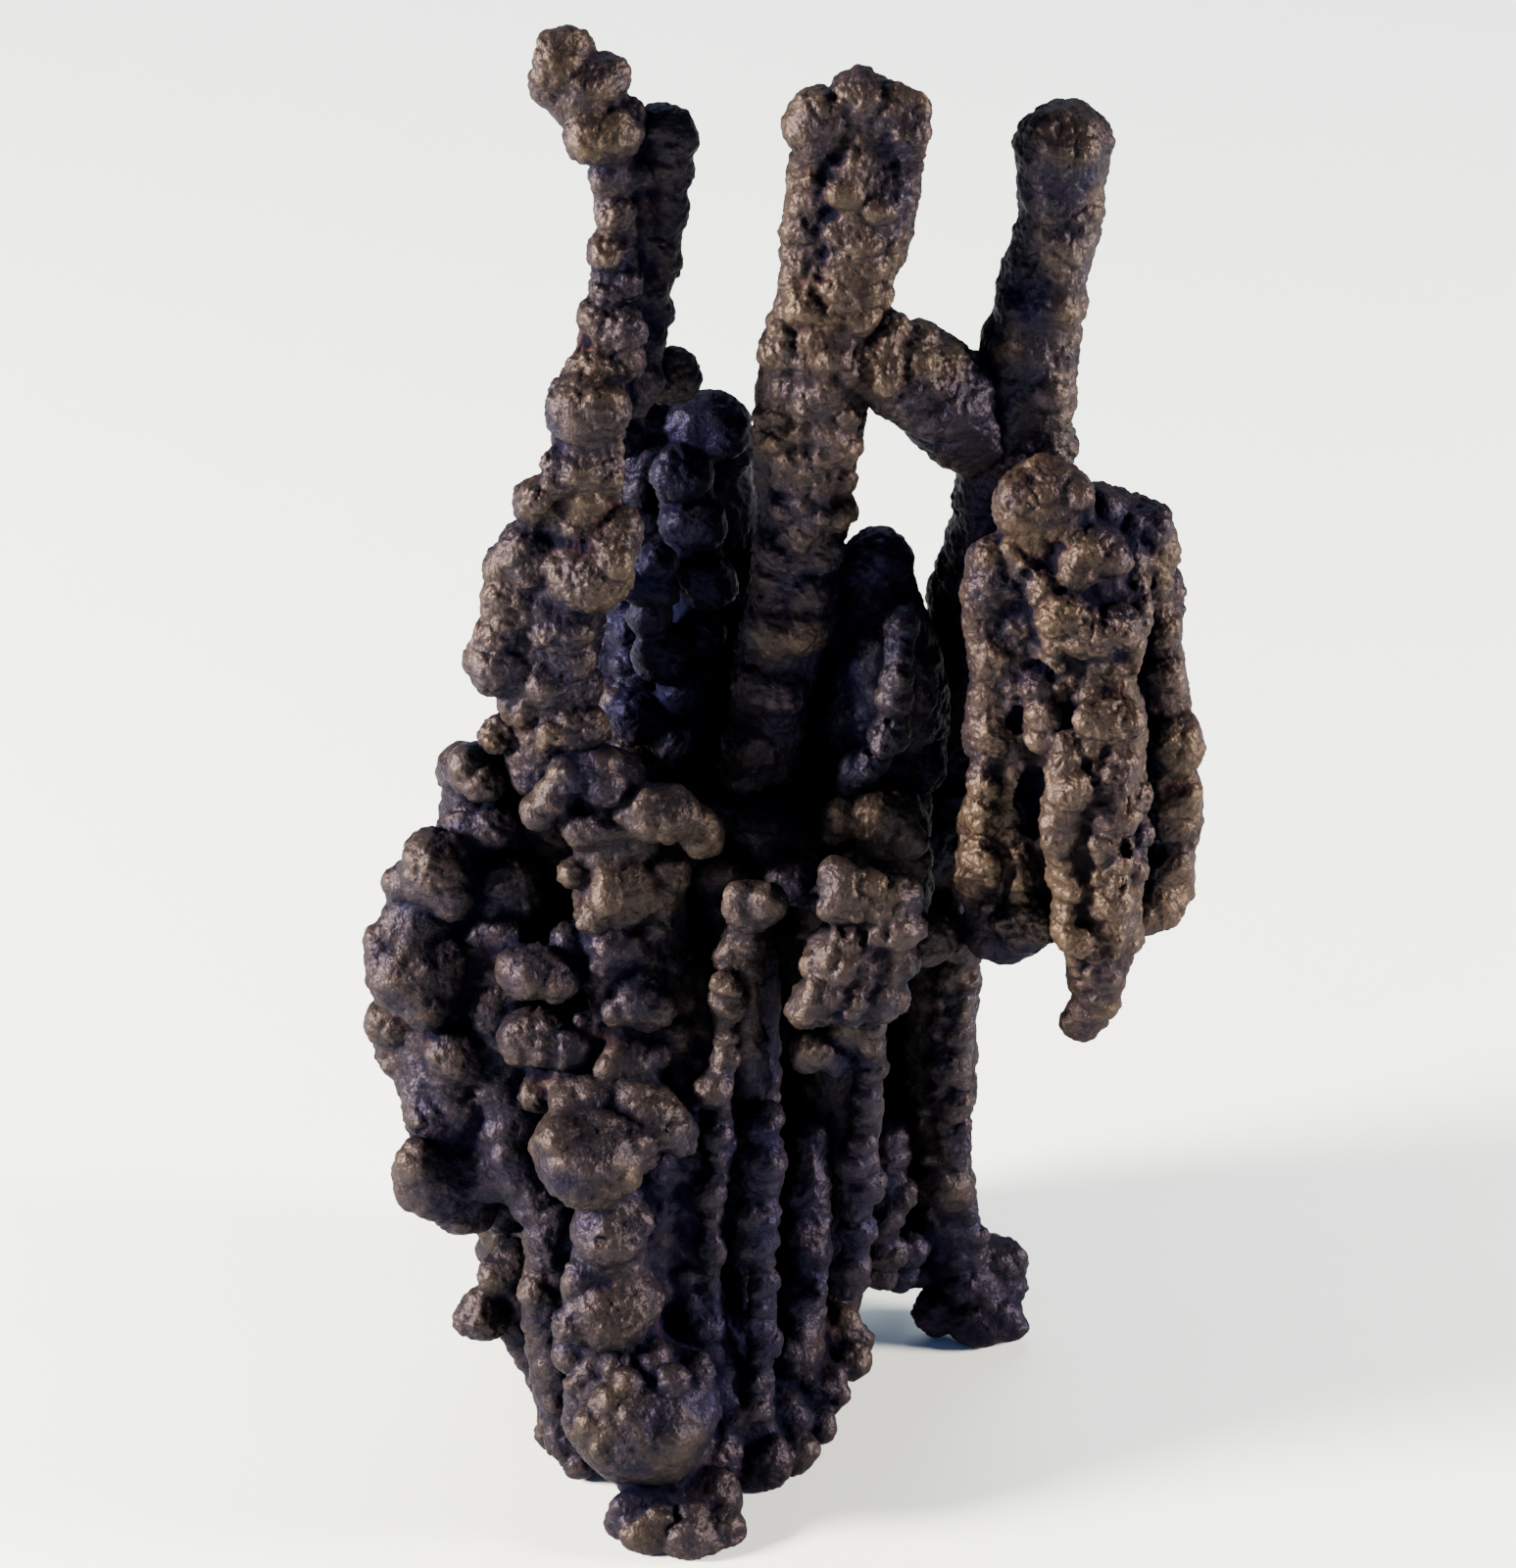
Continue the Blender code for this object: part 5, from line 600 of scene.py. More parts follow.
def parts_of(name):
    """The stems and large lobes of one piece in millimetres, then its small lobes for seating."""
    shape = SHAPES[name]
    made, small = [], []
    for number, (style, stations) in enumerate(shape["cores"]):
        letter = style.lower()
        if style == "K":
            for spot, r in knobs(stations, number):
                made.append(("lobe", spot, (r, r, r), 0.0, "s" if r > 1.9 else "k"))
        ends = [place(*s[:3]) for s in stations]
        spots = [np.array(p) for p, _ in ends]
        radii = [s[3] * u for s, (_, u) in zip(stations, ends)]
        along = 0.0
        for a, b, ra, rb in zip(spots, spots[1:], radii, radii[1:]):
            made.append(("stem", a, b, ra, rb, letter, along, number * 1.7))
            along += float(np.linalg.norm(b - a))
    for across, down, depth, radius, style, *form in shape["lobes"]:
        wide, tall, lean, deep = (form + [1.0, 1.0, 0.0, 0.85][len(form):])[:4]
        spot, unit = place(across, down, depth)
        r = radius * unit
        lobe = ("lobe", np.array(spot), (r * wide, r * deep, r * tall), radians(lean), style.lower())
        (small if radius <= SEATED and style.islower() else made).append(lobe)
    for across, down, depth, radius, style in beads_of(shape.get("rows", [])):
        spot, unit = place(across, down, depth)
        small.append(("lobe", np.array(spot), (radius * unit,) * 3, 0.0, style))
    small.sort(key=lambda lobe: -max(lobe[2]))
    return made, small


def seat(field, spot, r):
    """Where a small lobe goes: on the surface that the station point sees it against, half sunk."""
    look = spot - STATION
    look = look / np.linalg.norm(look)
    s = np.arange(-5.0, 5.0, 0.1)
    d = field.at(spot + s[:, None] * look)
    enters = np.nonzero((d[:-1] > 0) & (d[1:] <= 0))[0]
    if not len(enters):
        return spot
    i = enters[np.abs(s[enters]).argmin()]
    hit = spot + (s[i] + 0.1 * d[i] / (d[i] - d[i + 1])) * look
    step = np.eye(3) * 0.4
    slope = field.at(hit + step) - field.at(hit - step)
    slope = slope / max(float(np.linalg.norm(slope)), 1e-6)
    proud = float(np.interp(r, (0.9, 1.4, 2.4), (0.50, 0.42, 0.50)))
    # nearer the outline less of it is sunk, so that it still shapes the outline
    edge = 1 - min(1.0, abs(float(slope @ look)))
    proud += (1 - proud) * 0.9 * edge * edge
    return hit - slope * r * (1 - proud)


def box_of(parts):
    low, high = np.full(3, 1e9), np.full(3, -1e9)
    for part in parts:
        for spot, r in ((part[1], max(part[2])),) if part[0] == "lobe" else ((part[1], part[3]), (part[2], part[4])):
            low, high = np.minimum(low, spot - r), np.maximum(high, spot + r)
    return low - 2.0, high + 2.0


def surface_points(field):
    """Points on the zero level with the way out and the style there."""
    vertices, quads = surface_net(field)
    normals = normals_of(vertices, quads)
    cell = np.clip(np.round((vertices - field.low) / field.h).astype(int), 0, field.n - 1)
    return vertices, normals, field.style[cell[:, 0], cell[:, 1], cell[:, 2]]


def spread(points, spacing, rng, share):
    """Indices of a fairly even choice of the points: the one nearest to a random spot of each cube."""
    shift = rng.uniform(0, spacing, 3)
    cube = np.floor((points + shift) / spacing).astype(np.int64)
    seed = int(rng.integers(1 << 20))
    spot = cube + 0.15 + 0.7 * np.stack([hash3(cube, seed + k) for k in range(3)], 1)
    far = (((points + shift) / spacing - spot) ** 2).sum(1)
    key = (cube[:, 0] * 73856093) ^ (cube[:, 1] * 19349663) ^ (cube[:, 2] * 83492791)
    order = np.lexsort((far, key))
    first = np.ones(len(order), bool)
    first[1:] = key[order][1:] != key[order][:-1]
    chosen = order[first]
    return chosen[hash3(cube[chosen], seed + 7) < share]


def stud(field, level, rng):
    """One level of beads over the whole surface, each as its style has it."""
    points, normals, styles = surface_points(field)
    for number, letter in enumerate(STYLES):
        bead = BEADS[letter][level]
        if bead is None or bead[1] < 1.25 * field.h:
            continue
        here = np.nonzero((styles == number) & (points[:, 2] > -0.8))[0]
        if not len(here):
            continue
        small, large, proud, spacing, share = bead
        chosen = here[spread(points[here], spacing, rng, share)]
        r = rng.uniform(small, large, len(chosen))
        lift = proud * rng.uniform(0.55, 1.3, len(chosen))
        spots = points[chosen] - normals[chosen] * (r * (1 - lift))[:, None]
        for spot, radius in zip(spots, r):
            field.sphere(spot, radius)


def grow(name, step, seed):
    """The piece's distance field: stems and lobes, the filling between them, breaks, then the beads."""
    parts, small = parts_of(name)
    low, high = box_of(parts + small)
    low[2] = max(low[2], -3 * step)
    rng = np.random.default_rng(seed)
    field = Field(low, high, step, rng)
    for part in parts:
        if part[0] == "lobe":
            _, centre, radii, lean, style = part
            field.ellipsoid(centre, radii, lean, STYLES.index(style), MELT.get(name, SOFTEN))
        else:
            _, a, b, ra, rb, style, along, warp = part
            field.stem(a, b, ra, rb, STYLES.index(style), style, along, warp, MELT.get(name, SOFTEN))
    reach, lift = FILLING[name]
    field.filled(reach, lift)
    for _, spot, radii, lean, style in small:
        spot = seat(field, spot, max(radii))
        cell = np.clip(np.round((spot - field.low) / field.h).astype(int), 0, field.n - 1)
        sway = np.array([float(w[tuple(cell)]) for w in field.warp])
        field.ellipsoid(spot + sway, radii, lean, STYLES.index(style), 0.14)
    for across, down, depth, radius, *form in HOLLOWS.get(name, []):
        wide, tall, lean, deep = (form + [1.0, 1.0, 0.0, 1.0][len(form):])[:4]
        spot, unit = place(across, down, depth)
        r = radius * unit
        field.scoop(np.array(spot), (r * wide, r * deep, r * tall), radians(lean))
    for across, down, depth, reach, normal in BREAKS.get(name, []):
        spot, unit = place(across, down, depth)
        n = np.array(normal) / np.linalg.norm(normal)
        field.chip(np.array(spot), n, reach * unit)
    stud(field, 0, rng)
    stud(field, 1, rng)
    field.warp = None
    return field


CUBE = [(0, 0, 0), (1, 0, 0), (0, 1, 0), (1, 1, 0), (0, 0, 1), (1, 0, 1), (0, 1, 1), (1, 1, 1)]
EDGES = [(0, 1), (2, 3), (4, 5), (6, 7), (0, 2), (1, 3), (4, 6), (5, 7), (0, 4), (1, 5), (2, 6), (3, 7)]


def surface_net(field):
    """Vertices and quads of the zero level: one vertex for each cell that it passes through."""
    d = field.d
    inside = d < 0
    total = np.zeros(np.array(d.shape) - 1, np.uint8)
    for x, y, z in CUBE:
        total += inside[x:d.shape[0] - 1 + x, y:d.shape[1] - 1 + y, z:d.shape[2] - 1 + z]
    cells = np.argwhere((total > 0) & (total < 8))
    index = np.full(total.shape, -1, np.int32)
    index[cells[:, 0], cells[:, 1], cells[:, 2]] = np.arange(len(cells))
    corner = np.stack([d[cells[:, 0] + x, cells[:, 1] + y, cells[:, 2] + z] for x, y, z in CUBE], 1)
    cube = np.array(CUBE, np.float32)
    gathered = np.zeros((len(cells), 3), np.float32)
    count = np.zeros(len(cells), np.float32)
    for a, b in EDGES:
        da, db = corner[:, a], corner[:, b]
        crossed = (da < 0) != (db < 0)
        t = np.where(crossed, da / np.where(crossed, da - db, 1.0), 0.0)
        gathered += np.where(crossed[:, None], cube[a] + (cube[b] - cube[a]) * t[:, None], 0.0)
        count += crossed
    vertices = field.low + field.h * (cells + gathered / count[:, None])
    quads = []
    for axis in range(3):
        u, v = (axis + 1) % 3, (axis + 2) % 3
        one = [slice(None)] * 3
        two = [slice(None)] * 3
        one[axis], two[axis] = slice(0, -1), slice(1, None)
        first, second = inside[tuple(one)], inside[tuple(two)]
        at = np.argwhere(first != second)
        at = at[(at[:, u] > 0) & (at[:, v] > 0) & (at[:, u] < d.shape[u] - 1) & (at[:, v] < d.shape[v] - 1)]
        out = first[at[:, 0], at[:, 1], at[:, 2]]
        eu, ev = np.eye(3, dtype=int)[u], np.eye(3, dtype=int)[v]
        ring = np.stack([index[tuple((at - o).T)] for o in (eu * 0, eu, eu + ev, ev)], 1)
        quads.append(np.where(out[:, None], ring, ring[:, ::-1]))
    return vertices, np.concatenate(quads)


def main_body(vertices, quads):
    """Only the largest connected body, without crumbs and closed-in pores."""
    label = np.arange(len(vertices))
    pairs = np.concatenate([quads[:, [0, 1]], quads[:, [1, 2]], quads[:, [2, 3]], quads[:, [3, 0]]])
    while True:
        low = np.minimum(label[pairs[:, 0]], label[pairs[:, 1]])
        new = label.copy()
        np.minimum.at(new, pairs[:, 0], low)
        np.minimum.at(new, pairs[:, 1], low)
        new = new[new]
        while (new[new] != new).any():
            new = new[new]
        if (new == label).all():
            break
        label = new
    names, counts = np.unique(label, return_counts=True)
    keep = label == names[counts.argmax()]
    quads = quads[keep[quads[:, 0]]]
    number = np.cumsum(keep) - 1
    return vertices[keep], number[quads]


def normals_of(vertices, quads):
    p = vertices[quads]
    n = np.cross(p[:, 2] - p[:, 0], p[:, 3] - p[:, 1])
    total = np.zeros_like(vertices)
    for k in range(4):
        for axis in range(3):
            total[:, axis] += np.bincount(quads[:, k], n[:, axis], len(vertices))
    return total / np.maximum(np.linalg.norm(total, axis=1), 1e-12)[:, None]


def hash3(i, seed):
    """A repeatable number from 0 to 1 for each whole-number cell."""
    h = (i[..., 0].astype(np.uint32) * np.uint32(73856093)) ^ (i[..., 1].astype(np.uint32) * np.uint32(19349663)) ^ (i[..., 2].astype(np.uint32) * np.uint32(83492791))
    h = h ^ np.uint32(seed * 2654435761 % 4294967296)
    h = (h ^ (h >> np.uint32(13))) * np.uint32(1274126177)
    h = h ^ (h >> np.uint32(16))
    return (h & np.uint32(0xFFFFFF)).astype(np.float32) / np.float32(0xFFFFFF)


def value_noise(points, size, seed):
    """Smooth noise from -1 to 1 whose bumps are about this size."""
    g = points / size
    i = np.floor(g).astype(np.int64)
    f = (g - i).astype(np.float32)
    f = f * f * f * (f * (f * 6 - 15) + 10)
    out = np.zeros(len(points), np.float32)
    for dx in (0, 1):
        for dy in (0, 1):
            for dz in (0, 1):
                w = (f[:, 0] if dx else 1 - f[:, 0]) * (f[:, 1] if dy else 1 - f[:, 1]) * (f[:, 2] if dz else 1 - f[:, 2])
                out += w * hash3(i + np.array([dx, dy, dz]), seed)
    return out * 2 - 1


def pebbles(points, size, seed):
    """Rounded pebbling: 1 at the middle of each cell and 0 in the creases between cells."""
    g = points / size
    base = np.floor(g).astype(np.int64)
    best = np.full(len(points), 9.0, np.float32)
    second = np.full(len(points), 9.0, np.float32)
    for dx in (-1, 0, 1):
        for dy in (-1, 0, 1):
            for dz in (-1, 0, 1):
                cell = base + np.array([dx, dy, dz])
                spot = cell + np.stack([hash3(cell, seed + k) for k in range(3)], 1)
                d = ((g - spot) ** 2).sum(1).astype(np.float32)
                second = np.where(d < best, best, np.minimum(second, d))
                best = np.minimum(best, d)
    gap = np.sqrt(second) - np.sqrt(best)
    return 1 - (1 - np.clip(gap / 0.55, 0, 1)) ** 2


# relief laid on the meshed surface, by style: pebbles, fine waves, broad waves, in mm,
# how far the pebbles are drawn out up and down, and the lobules, in mm
RELIEF = {
    "s": (0.13, 0.07, 0.20, 0.0, 0.16), "b": (0.24, 0.12, 0.16, 0.0, 0.46), "k": (0.20, 0.10, 0.20, 0.0, 0.40),
    "r": (0.34, 0.20, 0.22, 0.2, 0.52), "w": (0.09, 0.04, 0.10, 0.0, 0.10), "v": (0.42, 0.22, 0.18, 0.6, 0.56),
    "p": (0.06, 0.03, 0.06, 0.0, 0.07),
}
LOBULE_MM = 1.9           # breadth of the merged lobules
PIECE_STEP = {
    "base_cluster": 0.28, "left_stalk": 0.21, "back_left_stalk": 0.27, "middle_stalk": 0.21, "cross_branch": 0.21,
    "right_stalk": 0.22, "inner_stalk": 0.23, "hanging_cluster": 0.21,
}
# how wide a gap is closed and how far the closing lies below the lobes, in mm
FILLING = {
    "base_cluster": (1.5, 0.26), "left_stalk": (1.3, 0.12), "back_left_stalk": (1.5, 0.25), "middle_stalk": (0.9, 0.10),
    "cross_branch": (1.0, 0.15), "right_stalk": (0.9, 0.12), "inner_stalk": (1.0, 0.2), "hanging_cluster": (1.2, 0.10),
}


def boxed_blur(a, r):
    """Box blur by running sums, r cells to each side, along every axis."""
    for axis in range(3):
        pad = [(0, 0)] * 3
        pad[axis] = (r + 1, r)
        total = np.cumsum(np.pad(a, pad, mode="edge"), axis=axis, dtype=np.float64)
        hi = [slice(None)] * 3
        lo = [slice(None)] * 3
        hi[axis], lo[axis] = slice(2 * r + 1, None), slice(0, -(2 * r + 1))
        a = ((total[tuple(hi)] - total[tuple(lo)]) / (2 * r + 1)).astype(np.float32)
    return a


def finished_mesh(name, field, relief_seed, ground):
    """Vertices in mm with the relief laid on, quads, and the share of rough relief from the style weights, of one
    piece.
    """
    if ground:
        z = field.low[2] + field.h * np.arange(field.n[2], dtype=np.float32)
        field.d = np.maximum(field.d, -z[None, None, :])
    vertices, quads = surface_net(field)
    vertices, quads = main_body(vertices, quads)
    vertices = vertices.astype(np.float64)
    normals = normals_of(vertices, quads)
    cell = np.clip(np.round((vertices - field.low) / field.h).astype(int), 0, field.n - 1)
    styles = field.style[cell[:, 0], cell[:, 1], cell[:, 2]]
    tables = np.array([RELIEF[s] for s in STYLES], np.float32)
    weights = tables[styles]
    columns = weights.shape[1]
    # blend the style over the neighbours so that relief doesn't stop at a line
    for _ in range(5):
        total = np.zeros_like(weights)
        count = np.zeros(len(vertices), np.float32)
        for a, b in ((0, 1), (1, 2), (2, 3), (3, 0)):
            for k in range(columns):
                total[:, k] += np.bincount(quads[:, a], weights[quads[:, b], k], len(vertices))
                total[:, k] += np.bincount(quads[:, b], weights[quads[:, a], k], len(vertices))
            count += np.bincount(quads[:, a], minlength=len(vertices)) + np.bincount(quads[:, b], minlength=len(vertices))
        weights = total / count[:, None]
    wobble = 0.5 + 0.5 * value_noise(vertices, 3.1, relief_seed + 9)
    round_ones = pebbles(vertices, 0.80 if not ground else 0.90, relief_seed)
    long_ones = pebbles(vertices * (1.0, 1.0, 0.36), 0.80, relief_seed + 2)
    share = np.clip(weights[:, 3], 0, 1)
    lift = weights[:, 0] * (0.35 + 1.3 * wobble) * (round_ones * (1 - share) + long_ones * share - 0.6)
    bent = vertices + 0.35 * np.stack([value_noise(vertices, 1.6, relief_seed + k) for k in (11, 12, 13)], 1)
    lobules = pebbles(bent / (LOBULE_MM, LOBULE_MM, LOBULE_MM * 0.86), 1.0, relief_seed + 15)
    ridges = pebbles(bent / (LOBULE_MM * 0.8, LOBULE_MM * 0.8, LOBULE_MM * 1.6), 1.0, relief_seed + 17)
    lift += weights[:, 4] * (0.55 + 0.9 * wobble) * (lobules * (1 - share) + ridges * share - 0.75)
    lift += weights[:, 1] * value_noise(vertices, 0.55, relief_seed + 3)
    lift += weights[:, 2] * value_noise(vertices, 1.9, relief_seed + 5)
    if ground:
        lift *= np.clip((vertices[:, 2] - 0.15) / 0.6, 0, 1)
    vertices = vertices + normals * lift[:, None]
    rough = np.clip((weights[:, 0] - 0.10) / 0.24, 0, 1)
    return vertices, quads, rough


# ---------------------------------------------------------------------------
# Materials
# ---------------------------------------------------------------------------
def node(tree, kind, at=(0, 0), **settings):
    made = tree.nodes.new(kind)
    made.location = at
    for key, value in settings.items():
        setattr(made, key, value)
    return made


def ramp(tree, source, stops, at=(0, 0)):
    made = node(tree, "ShaderNodeValToRGB", at)
    points = made.color_ramp.elements
    while len(points) < len(stops):
        points.new(0.5)
    for point, (where, colour) in zip(points, stops):
        point.position = where
        point.color = (*colour, 1.0) if len(colour) == 3 else colour
    tree.links.new(source, made.inputs["Fac"])
    return made.outputs["Color"]


def mixed(tree, factor, a, b, mode="MIX", at=(0, 0)):
    made = node(tree, "ShaderNodeMix", at, data_type="RGBA", blend_type=mode)
    for socket, value in ((made.inputs["Factor"], factor), (made.inputs[6], a), (made.inputs[7], b)):
        if hasattr(value, "is_output"):
            tree.links.new(value, socket)
        elif isinstance(value, (int, float)):
            socket.default_value = value
        else:
            socket.default_value = (*value, 1.0)
    return made.outputs[2]


def maths(tree, operation, a, b=None, clamp=False, at=(0, 0)):
    made = node(tree, "ShaderNodeMath", at, operation=operation, use_clamp=clamp)
    for socket, value in ((made.inputs[0], a), (made.inputs[1], b)):
        if value is None:
            continue
        if hasattr(value, "is_output"):
            tree.links.new(value, socket)
        else:
            socket.default_value = value
    return made.outputs[0]


def oxide(name, dark, brown, glint, seed):
    """Submetallic oxide: dark smooth skin, browner frost-textured crests, rust and painted shade in the creases,
    painted shade in the recesses, zones of painted light and shade, fine pebbled relief.
    """
    material = bpy.data.materials.new(name)
    material.use_nodes = True
    tree = material.node_tree
    tree.nodes.clear()
    out = node(tree, "ShaderNodeOutputMaterial", (1400, 0))
    shader = node(tree, "ShaderNodeBsdfPrincipled", (1100, 0))
    tree.links.new(shader.outputs[0], out.inputs[0])
    coords = node(tree, "ShaderNodeTexCoord", (-1400, 0))
    shifted = node(tree, "ShaderNodeMapping", (-1200, 0))
    shifted.inputs["Location"].default_value = (seed * 0.137, seed * 0.071, seed * 0.213)
    tree.links.new(coords.outputs["Object"], shifted.inputs["Vector"])
    where = shifted.outputs["Vector"]

    def noise(scale, detail, rough, at):
        made = node(tree, "ShaderNodeTexNoise", at)
        made.inputs["Scale"].default_value = scale
        made.inputs["Detail"].default_value = detail
        made.inputs["Roughness"].default_value = rough
        tree.links.new(where, made.inputs["Vector"])
        return made.outputs["Fac"]

    def cells(scale, feature, at, randomness=1.0):
        made = node(tree, "ShaderNodeTexVoronoi", at, feature=feature)
        made.inputs["Scale"].default_value = scale
        made.inputs["Randomness"].default_value = randomness
        tree.links.new(where, made.inputs["Vector"])
        return made

    cavity = node(tree, "ShaderNodeAttribute", (-1000, 500), attribute_name="cavity").outputs["Fac"]
    recess_shade = node(tree, "ShaderNodeAttribute", (-1000, 700), attribute_name="recess_shade").outputs["Fac"]
    rough_zone = node(tree, "ShaderNodeAttribute", (-1000, 300), attribute_name="rough").outputs["Fac"]
    painted_light_and_shade = node(tree, "ShaderNodeAttribute", (-1000, 900), attribute_name="painted_light_and_shade").outputs["Fac"]
    broad = noise(160.0, 3.0, 0.55, (-900, 100))
    middle = noise(620.0, 4.0, 0.6, (-900, -100))
    fine = noise(2600.0, 3.0, 0.65, (-900, -300))
    pebble = noise(1150.0, 2.0, 0.5, (-900, -900))
    grain = cells(1700.0, "F1", (-900, -500))
    frost = cells(3300.0, "F1", (-900, -700))

    base = mixed(tree, ramp(tree, broad, [(0.36, (0, 0, 0)), (0.64, (1, 1, 1))]), dark, brown)
    base = mixed(tree, maths(tree, "MULTIPLY", rough_zone, 0.7), base, brown)
    speck = ramp(tree, fine, [(0.55, (0, 0, 0)), (0.72, (1, 1, 1))])
    speck = maths(tree, "MULTIPLY", speck, maths(tree, "ADD", maths(tree, "MULTIPLY", rough_zone, 0.45), 0.12))
    base = mixed(tree, speck, base, glint)
    # crests are paler where they have been rubbed and creases hold some rust; creases and recesses are darkened with
    # painted shade
    crest = ramp(tree, cavity, [(0.24, (1, 1, 1)), (0.40, (0, 0, 0))])
    base = mixed(tree, maths(tree, "MULTIPLY", crest, 0.12), base, glint)
    rust_zone = maths(tree, "MULTIPLY", ramp(tree, broad, [(0.50, (0, 0, 0)), (0.62, (1, 1, 1))]), ramp(tree, cavity, [(0.46, (0, 0, 0)), (0.60, (1, 1, 1))]))
    base = mixed(tree, maths(tree, "MULTIPLY", rust_zone, 0.45), base, (0.045, 0.014, 0.006))
    # painted shade: the creases are darkened toward a dark bluish colour
    crease_shade = ramp(tree, cavity, [(0.45, (0, 0, 0)), (0.61, (1, 1, 1))])
    base = mixed(tree, maths(tree, "MULTIPLY", crease_shade, 0.92), base, CREASE_SHADE)
    # painted shade: the deep recesses between the stalks are darkened toward the same dark bluish colour
    base = mixed(tree, maths(tree, "MULTIPLY", ramp(tree, recess_shade, [(0.34, (0, 0, 0)), (0.60, (1, 1, 1))]), 0.8), base, CREASE_SHADE)
    # zones of painted shade, darker down to near black, and of painted light, paler toward the glint colour
    base = mixed(tree, maths(tree, "SUBTRACT", 1.0, painted_light_and_shade, clamp=True), base, (dark[0] * 0.35, dark[1] * 0.40, dark[2] * 0.9))
    base = mixed(tree, maths(tree, "MULTIPLY", maths(tree, "SUBTRACT", painted_light_and_shade, 1.0, clamp=True), 0.30), base, glint)
    tree.links.new(base, shader.inputs["Base Color"])

    shader.inputs["Metallic"].default_value = 0.62
    shader.inputs["Specular IOR Level"].default_value = 0.10
    shader.inputs["Specular Tint"].default_value = (0.26, 0.29, 0.42, 1.0)
    gloss = mixed(tree, middle, (0.41, 0.41, 0.41), (0.60, 0.60, 0.60))
    gloss = mixed(tree, maths(tree, "MULTIPLY", rough_zone, 0.5), gloss, (0.40, 0.40, 0.40))
    gloss = mixed(tree, crease_shade, gloss, (0.9, 0.9, 0.9))
    tree.links.new(gloss, shader.inputs["Roughness"])

    # the smooth lobes have hardly any of the fine relief that the rough parts have
    share = maths(tree, "ADD", maths(tree, "MULTIPLY", rough_zone, 1.5), 0.32)
    lump = node(tree, "ShaderNodeBump", (500, -300))
    lump.inputs["Strength"].default_value = 0.7
    lump.inputs["Distance"].default_value = 0.00022
    height = maths(tree, "MULTIPLY", grain.outputs["Distance"], -0.8)
    height = maths(tree, "ADD", height, maths(tree, "MULTIPLY", pebble, 0.9))
    tree.links.new(maths(tree, "MULTIPLY", height, share), lump.inputs["Height"])
    tiny = node(tree, "ShaderNodeBump", (750, -300))
    tiny.inputs["Strength"].default_value = 0.8
    tiny.inputs["Distance"].default_value = 0.00013
    height = maths(tree, "MULTIPLY", frost.outputs["Distance"], -0.6)
    height = maths(tree, "ADD", height, fine)
    tree.links.new(maths(tree, "MULTIPLY", height, maths(tree, "ADD", share, 0.1)), tiny.inputs["Height"])
    tree.links.new(lump.outputs["Normal"], tiny.inputs["Normal"])
    tree.links.new(tiny.outputs["Normal"], shader.inputs["Normal"])
    return material


# dark bluish colour of the painted shade in the creases and recesses
CREASE_SHADE = (0.0010, 0.0013, 0.0058)
# each piece's copy of the oxide colours (dark, brown, glint) is lighter or darker as painted light and shade: the
# back-left and inner stalks, which stand in shade, are darkest
MATERIALS = {
    "base_cluster": ((0.0052, 0.0047, 0.0120), (0.0140, 0.0110, 0.0112), (0.115, 0.084, 0.058)),
    "left_stalk": ((0.0062, 0.0054, 0.0120), (0.0180, 0.0136, 0.0122), (0.140, 0.102, 0.066)),
    "back_left_stalk": ((0.0030, 0.0031, 0.0100), (0.0066, 0.0059, 0.0096), (0.046, 0.037, 0.036)),
    "middle_stalk": ((0.0064, 0.0055, 0.0120), (0.0185, 0.0138, 0.0124), (0.146, 0.105, 0.068)),
    "cross_branch": ((0.0056, 0.0050, 0.0118), (0.0165, 0.0126, 0.0116), (0.125, 0.092, 0.062)),
    "right_stalk": ((0.0044, 0.0042, 0.0112), (0.0135, 0.0106, 0.0108), (0.108, 0.082, 0.058)),
    "inner_stalk": ((0.0034, 0.0035, 0.0102), (0.0086, 0.0074, 0.0102), (0.066, 0.052, 0.046)),
    "hanging_cluster": ((0.0070, 0.0058, 0.0112), (0.0230, 0.0166, 0.0134), (0.170, 0.118, 0.076)),
}
MOST_TRIANGLES = 192000
MOST = {
    "left_stalk": 125000, "back_left_stalk": 64000, "middle_stalk": 112000, "cross_branch": 26000, "right_stalk": 80000,
    "inner_stalk": 56000, "hanging_cluster": 140000,
}


def object_of(name, vertices, quads, values, material):
    mesh = bpy.data.meshes.new(name)
    mesh.vertices.add(len(vertices))
    mesh.vertices.foreach_set("co", (vertices * 0.001).astype(np.float32).ravel())
    sides = quads.shape[1]
    mesh.loops.add(quads.size)
    mesh.loops.foreach_set("vertex_index", quads.astype(np.int32).ravel())
    mesh.polygons.add(len(quads))
    mesh.polygons.foreach_set("loop_start", np.arange(0, quads.size, sides, dtype=np.int32))
    mesh.update(calc_edges=True)
    for label, numbers in values.items():
        made = mesh.attributes.new(label, "FLOAT", "POINT")
        made.data.foreach_set("value", numbers.astype(np.float32))
    mesh.materials.append(material)
    mesh.shade_smooth()
    obj = bpy.data.objects.new(name, mesh)
    bpy.context.scene.collection.objects.link(obj)
    return obj


def thinned(obj, most):
    """Fewer triangles where the surface is plain, by a Decimate modifier applied."""
    faces = sum(len(p.vertices) - 2 for p in obj.data.polygons[:4]) / 4 * len(obj.data.polygons)
    if faces <= most:
        return
    modifier = obj.modifiers.new("thin", "DECIMATE")
    modifier.ratio = most / faces
    modifier.use_collapse_triangulate = True
    graph = bpy.context.evaluated_depsgraph_get()
    mesh = bpy.data.meshes.new_from_object(obj.evaluated_get(graph), preserve_all_data_layers=True, depsgraph=graph)
    old = obj.data
    obj.modifiers.clear()
    obj.data = mesh
    bpy.data.meshes.remove(old)
    mesh.shade_smooth()


